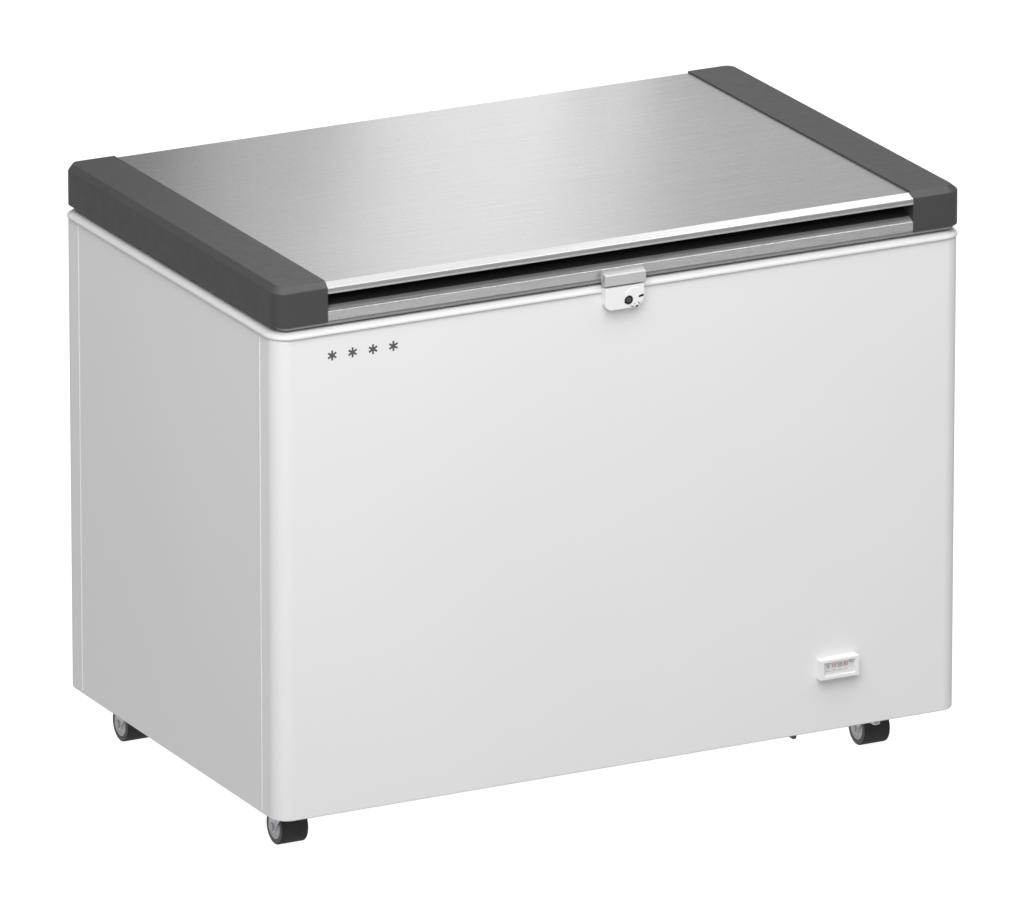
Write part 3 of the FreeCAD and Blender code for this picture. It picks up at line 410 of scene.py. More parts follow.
def metal(name, colour, roughness=0.35):
    """Plain turned or drawn metal with faint marks."""
    finish = Finish(name, roughness, 1.0)
    finish.ramp(finish.noise(80.0), shade(colour, 0.06), "Base Color")
    finish.ramp(finish.noise(300.0), shade(roughness, 0.15), "Roughness")
    finish.bump(finish.noise(900.0), 0.05, 0.0002)
    return finish.material


def foam_look(name, colour):
    """Cut face of poured foam, with open cells."""
    finish = Finish(name, 0.85)
    distance = finish.cells(260.0)
    finish.ramp(distance, shade(colour, 0.14), "Base Color")
    finish.bump(distance, 0.4, 0.001)
    return finish.material


def stucco(name, colour):
    """Embossed coated aluminium of the inner liner."""
    roughness = 0.30
    finish = Finish(name, roughness)
    distance = finish.cells(120.0, "SMOOTH_F1")
    finish.ramp(finish.noise(3.0), shade(colour, 0.015), "Base Color")
    finish.ramp(distance, shade(roughness, 0.10), "Roughness")
    finish.bump(distance, 0.35, 0.0008)
    return finish.material


def clear_look(name):
    """Thin clear window."""
    finish = Finish(name, 0.03, Alpha=0.12, IOR=1.49)
    finish.ramp(finish.noise(40.0), shade(0.97, 0.02), "Base Color")
    return finish.material


WHITE_PAINT = painted("white_paint", (0.80, 0.80, 0.80))
WHITE_PLASTIC = moulded("white_plastic", (0.88, 0.88, 0.88), 0.34, 0.03, 0.008)
FRAME_WHITE = moulded("frame_white", (0.69, 0.69, 0.69), 0.34, 0.03, 0.008)
LOCK_WHITE = moulded("lock_white", (0.84, 0.84, 0.84), 0.30, 0.02, 0.006)
DARK_PLASTIC = moulded("dark_plastic", (0.050, 0.050, 0.051), 0.45, 0.10, 0.03)
UNDER_PLASTIC = moulded("under_plastic", (0.30, 0.30, 0.30), 0.48, 0.08, 0.03)
# Near-black colour of the finger recess's floor is painted shade: the floor is steel, dark only because the
# recess lies in shade.
RECESS_PAINTED_SHADE = moulded("recess_painted_shade", (0.020, 0.020, 0.020), 0.42, 0.10, 0.12)
BLACK_PLASTIC = moulded("black_plastic", (0.022, 0.022, 0.022), 0.5, 0.10, 0.08)
HUB_PLASTIC = moulded("hub_plastic", (0.70, 0.70, 0.70), 0.46, 0.08, 0.04)
CARD = moulded("scale_card", (0.80, 0.81, 0.79), 0.6, 0.02, 0.01)
INK_BLUE = moulded("ink_blue", (0.03, 0.035, 0.17), 0.6, 0.01, 0.05)
INK_RED = moulded("ink_red", (0.30, 0.045, 0.04), 0.6, 0.01, 0.05)
INK_GREY = moulded("ink_grey", (0.085, 0.085, 0.090), 0.55, 0.01, 0.04)
INK_BLACK = moulded("ink_black", (0.012, 0.012, 0.012), 0.55, 0.01, 0.04)
INK_PALE = moulded("ink_pale", (0.20, 0.20, 0.20), 0.55, 0.01, 0.04)
STRIP_GRAIN = (30.0, 700.0, 700.0)
WORKTOP = brushed("worktop_steel", 0.80, (6.0, 760.0, 760.0), 0.26, 0.06)
# Darker copy of the worktop steel for the front lip band is painted shade: the lip is one sheet with the
# worktop and looks darker only by the light it catches.
FOLD_STEEL_SHADED = brushed("fold_steel_painted_shade", 0.50, STRIP_GRAIN, 0.34, 0.05)
# Darker copy of the worktop steel for the hem is painted shade: the hem is one sheet with the worktop.
HEM_STEEL_SHADED = brushed("hem_steel_painted_shade", 0.66, STRIP_GRAIN, 0.30, 0.05)
# Darker, duller copy of the steel for the recess's rounded edge is painted shade of the finger recess.
RECESS_STEEL_SHADED = brushed("recess_steel_painted_shade", 0.30, STRIP_GRAIN, 0.45, 0.12, 0.5)
GRIP_STEEL = brushed("grip_steel", 0.66, STRIP_GRAIN, 0.30, 0.09)
HASP_STEEL = brushed("hasp_steel", 0.72, (30.0, 500.0, 500.0), 0.40, 0.05, 0.6)
ZINC = galvanised("galvanised", (0.80, 0.80, 0.86))
TYRE = rubbery("tyre", (0.030, 0.030, 0.030))
SIDEWALL = rubbery("tyre_wall", (0.130, 0.130, 0.130), 0.6)
BLACK_RUBBER = rubbery("black_rubber", (0.022, 0.022, 0.022))
GASKET = rubbery("gasket", (0.24, 0.24, 0.25), 0.6)
SCREW = metal("screw_steel", (0.60, 0.60, 0.61))
COPPER = metal("copper", (0.78, 0.40, 0.24), 0.30)
BARREL = metal("barrel_steel", (0.05, 0.05, 0.05), 0.38)
PLUG_STEEL = metal("plug_steel", (0.22, 0.22, 0.22), 0.35)
BLACK_PAINT = painted("black_enamel", (0.012, 0.012, 0.013), 0.28)
FOAM = foam_look("foam", (0.82, 0.72, 0.42))
LINER = stucco("liner_white", (0.82, 0.83, 0.84))
CLEAR = clear_look("clear_window")

# Nodes that keep their CAD shape, with the material each one gets
CARRIED = {
    "base_plate": ZINC,
    "cabinet_foam": FOAM,
    "evaporator_coil": COPPER,
    "condenser_coil": BLACK_PAINT,
    "compressor": BLACK_PAINT,
    "compressor_base": ZINC,
    "compressor_grommets": BLACK_RUBBER,
    "relay_cover": BLACK_PLASTIC,
    "filter_drier": COPPER,
    "refrigerant_lines": COPPER,
    "grille_screws": SCREW,
    "side_grille": WHITE_PLASTIC,
    "thermostat_knob": BLACK_PLASTIC,
    "power_inlet": BLACK_PLASTIC,
    "drain_plug": BLACK_RUBBER,
    "drain_pipe": BLACK_PLASTIC,
    "lid_foam": FOAM,
    "hinge_base_left": ZINC,
    "hinge_base_right": ZINC,
    "hinge_pins": SCREW,
    "hinge_screws": SCREW,
    "hinge_springs": SCREW,
    "hinge_arm_left": ZINC,
    "hinge_arm_right": ZINC,
    "hinge_arm_screws": SCREW,
    "caster_axles": SCREW,
    "caster_bolts": SCREW,
}


def dress_carried_nodes():
    """Gives every node that keeps its CAD shape its material."""
    for node, material in CARRIED.items():
        mesh = NODES[node].data
        mesh.materials.clear()
        mesh.materials.append(material)


# Cabinet

def sheet_profile():
    """Cross-section of a folded sheet as (inset from its outer face, z), with a rounded bottom edge."""
    outer = [(HEM, BASE_Z), (0.0, BASE_Z), (0.0, PANEL_TOP)]
    inner = [(SHEET, PANEL_TOP), (SHEET, BASE_Z + SHEET), (HEM, BASE_Z + SHEET)]
    return fillet(outer + inner, [0.0, 1.8, 0.0, 0.0, 1.0, 0.0], 4)


def run_profile(name, stations, profile):
    """A cross-section carried along plan stations of (x, y, inward x, inward y)."""
    loops = []
    for x, y, nx, ny in stations:
        loops.append([(x + nx * inset, y + ny * inset, z) for inset, z in profile])
    return loft(name, loops)


def corner_stations(cx, cy, start, end, steps=14):
    """Stations round a cabinet corner whose arc is centred on cx, cy."""
    spots = []
    for step in range(steps + 1):
        angle = math.radians(start + (end - start) * step / steps)
        out = (math.cos(angle), math.sin(angle))
        spots.append((cx + out[0] * CORNER_R, cy + out[1] * CORNER_R, -out[0], -out[1]))
    return spots


def wrapped_sheet(name, face_y, seam_y, side):
    """A sheet that covers one face and wraps both corners to its seams; side is -1 in front, 1 behind."""
    cy = face_y - side * CORNER_R
    cx = PANEL_X - CORNER_R
    stations = [(-PANEL_X, seam_y, 1, 0)]
    stations += corner_stations(-cx, cy, 180.0, 180.0 - side * 90.0)
    stations += corner_stations(cx, cy, side * 90.0, 0.0)
    stations += [(PANEL_X, seam_y, -1, 0)]
    return run_profile(name, stations, sheet_profile())


def side_sheet(name, side):
    """A flat sheet between the seams of one side."""
    ends = (SEAM_FRONT + SEAM_GAP, SEAM_REAR - SEAM_GAP)
    stations = [(side * PANEL_X, y, -side, 0) for y in ends]
    return run_profile(name, stations, sheet_profile())


def seam_beads():
    """Narrow raised folds where the wrapped sheets meet the side sheets."""
    beads = []
    for side in (-1, 1):
        for y in (SEAM_FRONT, SEAM_REAR):
            x0, x1 = side * (PANEL_X - 0.3), side * (PANEL_X + 0.9)
            outline = [(x0, y - 1.7), (x1, y - 0.8), (x1, y + 0.8), (x0, y + 1.7)]
            beads.append(extrude_z("bead", outline, BASE_Z + 4.0, PANEL_TOP))
    return join("side_seams", beads)


def cabinet_sheets():
    """Front, rear and side sheets, with the rear slots, the inlet's hole and the grille's hole."""
    front = wrapped_sheet("front_sheet", PANEL_FRONT, SEAM_FRONT - SEAM_GAP, -1)
    finish_piece(front, "cabinet", WHITE_PAINT, ["front_panel"])
    rear = wrapped_sheet("rear_sheet", PANEL_REAR, SEAM_REAR + SEAM_GAP, 1)
    behind = (PANEL_REAR - 5, PANEL_REAR + 5)
    slot_rows, slot_pitch, slot_tall, first_z = 9, 14.0, 5, 165.0
    cuts = []
    for row in range(slot_rows):
        z = first_z + row * slot_pitch
        cuts.append(block("slot", 330, 480, *behind, z, z + slot_tall))
    cuts.append(block("inlet_hole", 330, 362, *behind, 118, 144))
    carve(rear, cuts)
    finish_piece(rear, "cabinet", WHITE_PAINT, ["rear_panel"])
    left = side_sheet("left_sheet", -1)
    finish_piece(left, "cabinet", WHITE_PAINT, ["left_side_panel"])
    right = side_sheet("right_sheet", 1)
    lo, hi = low("side_grille"), high("side_grille")
    lap = 8
    hole = block("grille_hole", PANEL_X - 10, PANEL_X + 5, lo.y + lap, hi.y - lap, lo.z + lap, hi.z - lap)
    carve(right, [hole])
    finish_piece(right, "cabinet", WHITE_PAINT, ["right_side_panel"])
    finish_piece(seam_beads(), "cabinet", WHITE_PAINT, bevel=0.25)


def top_frame():
    """White bead round the cabinet's top edge: a shadow groove, a short face and a slope under the lid."""
    opening, wall, groove_depth, proud = 59.5, 2.78, 2.55, -0.9
    opening_r, bead_r = 18.5, 8.0
    groove = PANEL_TOP + 1.3
    outline = [
        (wall, PANEL_TOP), (groove_depth, PANEL_TOP), (groove_depth, groove), (proud, groove),
        (proud, PANEL_TOP + 4.6),
        (8.0, FRAME_TOP - 1.1), (18.0, FRAME_TOP), (opening, FRAME_TOP), (opening, FRAME_LOW.z),
        (opening - 1.5, FRAME_LOW.z), (opening - 1.5, FOAM_TOP), (wall, FOAM_TOP),
    ]
    radii = [0.0, 0.0, 0.0, 0.5, 3.6, 5.0, 12.0, 3.0, 0.5, 0.5, 0.0, 0.0]
    loops = []
    for inset, z in fillet(outline, radii, 6):
        least = opening_r if inset > opening - 10 else bead_r
        loops.append(inset_loop(inset, z, max(FRAME_R - inset, least), 12))
    piece = loft("top_frame_bead", loops, ring=True)
    finish_piece(piece, "cabinet", FRAME_WHITE, ["top_frame"], angle=50.0)


def rounded_profile_box(name, x0, x1, y0, y1, z0, z1, corner_r, floor_r, steps=6):
    """An upright block with rounded corners and a rounded bottom edge."""
    loops = []
    for step in range(steps + 1):
        angle = math.pi / 2 * step / steps
        inset = floor_r * (1 - math.sin(angle))
        z = z0 + floor_r * (1 - math.cos(angle))
        flat = rounded_loop(x0 + inset, x1 - inset, y0 + inset, y1 - inset, corner_r - inset, 8)
        loops.append([(x, y, z) for x, y in flat])
    loops.append([(x, y, z1) for x, y, z in loops[-1]])
    return loft(name, loops)


def liner():
    """White cavity tray with a step over the machine compartment and rounded corners."""
    lo, hi = low("inner_liner"), high("inner_liner")
    wall, corner_r, floor_r = 1.0, 21.0, 16.0
    step_x, step_z = 247.0, 349.0
    shells = []
    for grow in (0.0, wall):
        x0, x1, y0, y1 = lo.x + grow, hi.x - grow, lo.y + grow, hi.y - grow
        top, r, bend = hi.z + grow, corner_r - grow, floor_r - grow
        upper = rounded_profile_box("upper", x0, x1, y0, y1, step_z + grow, top, r, bend)
        well = rounded_profile_box("well", x0, step_x - grow, y0, y1, lo.z + grow, top, r, bend)
        union = upper.modifiers.new("join", "BOOLEAN")
        union.operation = "UNION"
        union.solver = "EXACT"
        union.object = well
        applied(upper)
        bpy.data.objects.remove(well)
        shells.append(upper)
    outer, inner = shells
    plug = (low("drain_plug") + high("drain_plug")) / 2
    bore = [(-9, 0.01), (9, 0.01), (9, 7.0), (-9, 7.0)]
    carve(outer, [inner, turned("drain_hole", bore, (plug.x, plug.y, lo.z), (0, 0, 1), 32)])
    outer.name = "liner_tray"
    finish_piece(outer, "cabinet", LINER, ["inner_liner"], angle=40.0)


# Lid

def cap_loop(inset, z, side=0.0, front=0.0, rear=0.0, radius=22.0):
    """Plan loop of the left end cap at a height, with its edges drawn in."""
    x0, x1 = CAP_LOW.x + inset + side, CAP_HIGH.x - inset
    y0, y1 = CAP_LOW.y + inset + front, CAP_HIGH.y - inset - rear
    r = max(radius - inset, 1.0)
    return [(x, y, z) for x, y in rounded_loop(x0, x1, y0, y1, [r, 0.4, 0.4, r], 10)]


def cap_form(inset, bottom, side=9.7, front=9.5, rise=8.0):
    """Loops of the cap's form: upright wall, bevel and flat top, each edge eased."""
    top = CAP_HIGH.z - inset
    bend = top - rise
    ease = 0.12
    loops = [cap_loop(inset, bottom), cap_loop(inset, bend - 1.0), cap_loop(inset + 0.35, bend - 0.5)]
    loops.append(cap_loop(inset, bend, side * 0.03, front * 0.02))
    rear = 2.6
    for share in (ease, 1 - ease):
        z, r = bend + rise * share, 22 - 9 * share
        loops.append(cap_loop(inset, z, side * share, front * share, rear * share, r))
    loops.append(cap_loop(inset, top - 0.22, side * 0.965, front * 0.965, rear, 13.2))
    loops.append(cap_loop(inset, top, side * 1.06, front * 1.05, 3.2, 12.8))
    return loops


def end_cap(side):
    """Hollow moulded cap, open below; the right one mirrors the left."""
    bottom = CAP_LOW.z
    outer = cap_form(0.0, bottom)
    outer.insert(0, cap_loop(0.7, bottom))
    outer[1] = cap_loop(0.0, bottom + 0.8)
    inner = cap_form(2.5, bottom)
    shell = loft("cap", outer)
    core = loft("core", [[(x, y, z - 4.0) for x, y, z in inner[0]]] + inner[1:])
    carve(shell, [core])
    if side > 0:
        shell.data.transform(Matrix.Scale(-1, 4, (1, 0, 0)))
        shell.data.flip_normals()
    side_name = "right" if side > 0 else "left"
    shell.name = "cap_" + side_name
    finish_piece(shell, "lid", DARK_PLASTIC, ["lid_end_cap_" + side_name], angle=28.0)


def sheet_outline(path, thickness, radius, steps=5):
    """A folded sheet's closed outline from its outer (y, z) path."""
    inner = []
    for index, (y, z) in enumerate(path):
        before = Vector(path[max(index - 1, 0)])
        after = Vector(path[min(index + 1, len(path) - 1)])
        here = Vector((y, z))
        normals = []
        for a, b in ((before, here), (here, after)):
            run = b - a
            if run.length > 1e-6:
                normals.append(Vector((run.y, -run.x)).normalized())
        mean = sum(normals, Vector((0, 0))) / len(normals)
        inner.append(tuple(here + mean * (thickness / mean.length_squared)))
    count = len(path)
    outer_r = radius if isinstance(radius, list) else [0.0] + [radius] * (count - 2) + [0.0]
    inner_r = [max(r - thickness, 0.2) if r else 0.0 for r in outer_r]
    return fillet(list(path) + inner[::-1], outer_r + inner_r[::-1], steps)


def top_sheet():
    """Brushed worktop with a bevelled front, a vertical lip, a hem and a rear flange."""
    top, lip = STEEL_HIGH.z, STEEL_LOW.y
    lip_low, bevel_low = 810.8, 818.7
    path = [
        (lip + 49, lip_low), (lip, lip_low), (lip, bevel_low), (lip + 11.5, top),
        (STEEL_HIGH.y, top), (STEEL_HIGH.y, STEEL_LOW.z), (STEEL_HIGH.y - 20, STEEL_LOW.z),
    ]
    outline = sheet_outline(path, SHEET, 0.9)
    span = CAP_INNER - 0.25
    sheet = extrude_x("worktop_sheet", outline, -span, span)
    finish_piece(sheet, "lid", WORKTOP, ["lid_top_sheet"], bevel=0.25, angle=40.0)
    # The lip band's darker steel is painted shade of the front lip.
    fold = [
        (lip + 0.2, lip_low + 2.4), (lip + 0.2, bevel_low - 0.6),
        (lip - 0.25, bevel_low - 0.8), (lip - 0.25, lip_low + 2.5),
    ]
    band = extrude_x("worktop_lip", fillet(fold, 0.15, 3), -span, span)
    finish_piece(band, "lid", FOLD_STEEL_SHADED, angle=40.0)
    # The hem's darker steel is painted shade of the down-turned edge.
    hem = [
        (lip + 0.3, lip_low - 0.1), (lip + 0.3, lip_low + 1.9),
        (lip - 0.6, lip_low + 1.7), (lip - 0.6, lip_low + 0.1),
    ]
    edge = extrude_x("worktop_hem", fillet(hem, 0.25, 3), -span, span)
    finish_piece(edge, "lid", HEM_STEEL_SHADED, angle=40.0)
    # Near-black sheet under the hem is painted shade of the finger recess, not a part of the lid.
    lining = block("recess_shade_sheet", -span, span, lip + 1.6, lip + 47.0, lip_low - 0.9, lip_low - 0.1)
    finish_piece(lining, "lid", BLACK_PLASTIC, bevel=0.2)


def grip():
    """Steel strip under the finger recess, its rounded edge and the recess's sloped floor, the edge and the
    floor darkened with painted shade.
    """
    lip = GRIP_LOW.y
    wall, span = 1.0, CAP_INNER - 0.5
    front = [(lip + 21, GRIP_LOW.z), (lip, GRIP_LOW.z), (lip, 785.7), (lip + 2.2, 787.3)]
    strip = extrude_x("grip_strip", sheet_outline(front, wall, 1.0), -span, span)
    # The rounded edge's darker steel is painted shade of the recess.
    edge = [(lip + 1.8, 785.8), (lip + 1.8, 786.6), (lip + 5.6, 789.4), (lip + 11.0, 791.8)]
    rounded = extrude_x("recess_edge", sheet_outline(edge, wall, [0.0, 0.4, 6.0, 0.0]), -span, span)
    finish_piece(rounded, "lid", RECESS_STEEL_SHADED, angle=40.0)
    # The recess floor's near-black colour is painted shade, not the steel's own colour.
    ramp = [(lip + 10.9, 791.7), (lip + 49, GRIP_HIGH.z - 0.9)]
    floor = extrude_x("recess_floor", sheet_outline(ramp, wall, 0.0), -span, span)
    finish_piece(floor, "lid", RECESS_PAINTED_SHADE, bevel=0.2, angle=40.0)
    finish_piece(strip, "lid", GRIP_STEEL, ["lid_grip"], bevel=0.2, angle=40.0)


def underframe():
    """Grey ring that carries the gasket."""
    lo, hi = low("lid_underframe"), high("lid_underframe")
    bottom, step, top = lo.z, CAP_LOW.z, hi.z
    skirt, shelf = (11.6, 4.0, 7.0), (5.2, 3.6, 5.8)
    inner, groove_in, groove_out = [(inset,) * 3 for inset in (57.0, 32.0, 16.0)]
    spots = [
        (skirt, bottom, 12.0), (skirt, step, 12.0), (shelf, step, 19.0), (shelf, top, 19.0),
        (inner, top, 12.0), (inner, bottom, 12.0), (groove_in, bottom, 8.0), (groove_in, bottom + 2, 8.0),
        (groove_out, bottom + 2, 14.0), (groove_out, bottom, 14.0),
    ]
    loops = []
    for (side, near, far), z, r in spots:
        flat = rounded_loop(-HALF + side, HALF - side, FRONT + near, REAR - far, r, 8)
        loops.append([(x, y, z) for x, y in flat])
    piece = loft("lid_ring", loops, ring=True)
    finish_piece(piece, "lid", UNDER_PLASTIC, ["lid_underframe"], bevel=0.4, angle=35.0)


def gasket():
    """Magnetic seal: a flat foot, a bellows waist and a soft lip on the cabinet's frame."""
    lo, hi = low("lid_gasket"), high("lid_gasket")
    z0, z1 = lo.z + 0.02, hi.z
    outline = [
        (17.0, z1), (31.0, z1), (31.0, z1 - 1.2), (27.5, z1 - 2.2), (31.6, z0 + 1.8), (31.6, z0),
        (16.4, z0), (16.4, z0 + 1.8), (20.5, z1 - 2.2), (17.0, z1 - 1.2),
    ]
    radii = [0.3, 0.3, 0.4, 0.5, 0.7, 0.6, 0.6, 0.7, 0.5, 0.4]
    loops = []
    for inset, z in fillet(outline, radii, 3):
        loops.append(inset_loop(inset, z, 14.0 - (inset - 16.0) * 0.3, 8))
    piece = loft("door_seal", loops, ring=True)
    finish_piece(piece, "lid", GASKET, ["lid_gasket"], angle=50.0)


def lid_tray():
    """White inner panel that dips into the cavity, with a tight rim and a shallow embossed band."""
    lo, hi = low("lid_inner_liner"), high("lid_inner_liner")
    top = hi.z
    loops = []
    spots = [
        (57.0, top, 12.0), (57.0, top - 1.2, 12.0), (84.5, top - 1.2, 29.0), (85.5, top - 1.7, 30.0),
        (85.8, top - 2.8, 30.0), (86.0, lo.z + 3.4, 30.0), (86.5, lo.z + 1.5, 29.5), (87.7, lo.z + 0.3, 28.5),
        (89.4, lo.z, 27.0), (128.0, lo.z, 22.0), (130.5, lo.z + 0.8, 21.0), (168.0, lo.z + 0.8, 20.0),
        (170.5, lo.z, 19.0),
    ]
    for inset, z, r in spots:
        loops.append(inset_loop(inset, z, r, 8))
    piece = loft("lid_tray", loops)
    finish_piece(piece, "lid", WHITE_PLASTIC, ["lid_inner_liner"], angle=40.0)


def hasp():
    """Folded strike plate: sloped top, thick front leg with a slot open at both ends."""
    lo, hi = low("lid_hasp"), high("lid_hasp")
    face, back = lo.y, hi.y
    outline = [
        (back, hi.z), (back, lo.z + 5.0), (back - 5.0, lo.z), (face, lo.z), (face, lo.z + 15.2),
        (back - 1.6, hi.z),
    ]
    body = extrude_x("strike_plate", fillet(outline, [0, 3.4, 3.4, 1.4, 1.3, 0.4], 5), lo.x, hi.x)
    slot = [
        (face + 3.4, lo.z + 3.6), (face + 6.4, lo.z + 3.6),
        (face + 6.4, hi.z - 5.2), (face + 3.4, hi.z - 6.6),
    ]
    carve(body, [extrude_x("slot", fillet(slot, 1.2, 4), lo.x - 5, hi.x + 5)])
    finish_piece(body, "lid", HASP_STEEL, ["lid_hasp"], bevel=0.45, segments=3, angle=35.0)


# Lock

def lock():
    """White housing with a round rosette, a key barrel and plain position marks."""
    lo, hi = low("lock_housing"), high("lock_housing")
    barrel_low, barrel_high = low("lock_cylinder"), high("lock_cylinder")
    face = barrel_low.y + 1.0
    cx, cz = (barrel_low.x + barrel_high.x) / 2, (barrel_low.z + barrel_high.z) / 2
    outline = fillet(
        [(lo.x, lo.z), (hi.x, lo.z), (hi.x, hi.z), (lo.x, hi.z)], [10.0, 15.0, 2.5, 2.5], 8
    )
    housing = extrude_y("lock_case", outline, face, PANEL_FRONT)
    bore = [(-4, 0.01), (12, 0.01), (12, 6.31), (-4, 6.31)]
    bead = block("bead", lo.x - 2, hi.x + 2, FRONT - 0.1, PANEL_FRONT + 2, PANEL_TOP, hi.z + 2)
    carve(housing, [bead, turned("bore", bore, (cx, face, cz), (0, 1, 0), 40)])
    finish_piece(
        housing, "cabinet", LOCK_WHITE, ["lock_housing"],
        bevel=2.0, segments=4, angle=40.0,
    )
    rx, rz, rr = 10.4, lo.z + 15.0, 14.4
    ring = fillet([(0.4, 0.2), (-0.5, 0.2), (-0.5, rr - 1.4), (0.4, rr)], [0, 0, 0.4, 0], 4)
    rosette = turned("lock_rosette", ring, (rx, face, rz), (0, 1, 0), 56)
    carve(rosette, [turned("bore", bore, (cx, face, cz), (0, 1, 0), 40)])
    finish_piece(rosette, "cabinet", LOCK_WHITE, angle=40.0)
    barrel(cx, cz, face)
    lock_marks(cx, cz, face - 0.5)


def barrel(cx, cz, face):
    """Dark key barrel with a lighter slotted plug at its centre."""
    rim = [(-0.9, 3.7), (-0.9, 6.2), (9.0, 6.2), (9.0, 0.05), (0.2, 0.05), (0.2, 3.7)]
    core = turned("key_barrel", fillet(rim, [0.4, 0.7, 0, 0, 0, 0], 3), (cx, face, cz), (0, 1, 0), 48)
    finish_piece(core, "lock_barrel", BARREL, ["lock_cylinder"], angle=35.0)
    button = [(-0.5, 0.05), (-0.5, 3.5), (0.3, 3.5), (0.3, 0.05)]
    plug = turned("key_plug", fillet(button, [0, 0.4, 0, 0], 3), (cx, face, cz), (0, 1, 0), 40)
    slot = block("slot", cx - 0.7, cx + 0.7, face - 4, face + 0.2, cz - 2.6, cz + 2.6)
    carve(plug, [slot])
    finish_piece(plug, "lock_barrel", PLUG_STEEL, bevel=0.1, angle=35.0)


def slanted_bar(cx, cz, turn, half_length, half_width):
    """Corners of a bar that lies at an angle in the (x, z) plane."""
    along = Vector((math.cos(turn), math.sin(turn)))
    across = Vector((-along.y, along.x))
    corners = []
    for a, b in ((-1, -1), (1, -1), (1, 1), (-1, 1)):
        corner = Vector((cx, cz)) + along * (a * half_length) + across * (b * half_width)
        corners.append(tuple(corner))
    return corners


def lock_marks(cx, cz, face):
    """Printed bars at the key positions: place from the barrel's axis, length, width, slope, ink."""
    rows = [
        (18.6, 3.6, 7.8, 3.0, 12, INK_BLACK), (15.0, -5.9, 4.4, 1.2, -52, INK_GREY),
        (12.0, -9.9, 3.8, 2.4, 18, INK_BLACK), (8.3, -6.6, 2.0, 1.1, 25, INK_PALE),
        (5.2, -9.4, 4.6, 1.2, -6, INK_PALE), (-5.6, -2.6, 2.6, 2.0, -50, INK_BLACK),
    ]
    for index, (dx, dz, length, width, slope, ink) in enumerate(rows):
        corners = slanted_bar(cx + dx, cz + dz, math.radians(slope), length / 2, width / 2)
        mark = extrude_y(f"lock_mark_{index}", fillet(corners, width * 0.35, 3), face - 0.15, face + 0.3)
        finish_piece(mark, "cabinet", ink, angle=40.0)


# Thermometer

def thermometer():
    """White case with a pocket, the printed card in it and a clear pane."""
    lo, hi = low("thermometer_bezel"), high("thermometer_bezel")
    win_lo, win_hi = low("thermometer_window"), high("thermometer_window")
    scale_lo, scale_hi = low("thermometer_scale"), high("thermometer_scale")
    loops = []
    for y, inset in ((hi.y, 0.0), (lo.y + 0.6, 0.0), (lo.y, 0.6)):
        x0, x1, z0, z1 = lo.x + inset, hi.x - inset, lo.z + inset, hi.z - inset
        flat = [(x0, z0), (x1, z0), (x1, z1), (x0, z1)]
        loops.append([(x, y, z) for x, z in fillet(flat, 0.8, 3)])
    body = loft("thermometer_case", loops)
    pocket = []
    for y, inset in ((lo.y - 1, -1.2), (lo.y + 0.9, 0.0), (scale_hi.y, 0.5)):
        flat = [
            (win_lo.x + inset, win_lo.z + inset), (win_hi.x - inset, win_lo.z + inset),
            (win_hi.x - inset, win_hi.z - inset), (win_lo.x + inset, win_hi.z - inset),
        ]
        pocket.append([(x, y, z) for x, z in fillet(flat, 0.5, 3)])
    carve(body, [loft("pocket", pocket)])
    finish_piece(body, "cabinet", LOCK_WHITE, ["thermometer_bezel"], angle=30.0)
    slabs = []
    for name, gap, y0, y1 in (("card", 0.6, scale_lo.y, scale_hi.y), ("pane", 0.3, win_lo.y, win_hi.y)):
        x0, x1, z0, z1 = win_lo.x + gap, win_hi.x - gap, win_lo.z + gap, win_hi.z - gap
        slabs.append(block("thermometer_" + name, x0, x1, y0, y1, z0, z1))
    card, pane = slabs
    finish_piece(card, "cabinet", CARD, ["thermometer_scale"], bevel=0.1)
    finish_piece(pane, "cabinet", CLEAR, ["thermometer_window"], bevel=0.2)
    scale_print(win_lo, win_hi, scale_lo.y)


def words(name, text, size, x, y, z, material):
    """Flat printed figures facing the front."""
    curve = bpy.data.curves.new(name, "FONT")
    curve.body = text
    curve.size = size * MM
    curve.extrude = 0.06 * MM
    curve.offset = 0.15 * MM
    curve.align_x = "CENTER"
    curve.align_y = "CENTER"
    holder = bpy.data.objects.new(name, curve)
    bpy.context.scene.collection.objects.link(holder)
    bpy.context.view_layer.update()
    graph = bpy.context.evaluated_depsgraph_get()
    mesh = bpy.data.meshes.new_from_object(holder.evaluated_get(graph))
    bpy.data.objects.remove(holder)
    mesh.transform(Matrix.Translation(Vector((x, y, z)) * MM) @ Matrix.Rotation(math.pi / 2, 4, "X"))
    mesh.materials.clear()
    mesh.materials.append(material)
    piece = bpy.data.objects.new(name, mesh)
    bpy.context.scene.collection.objects.link(piece)
    return piece


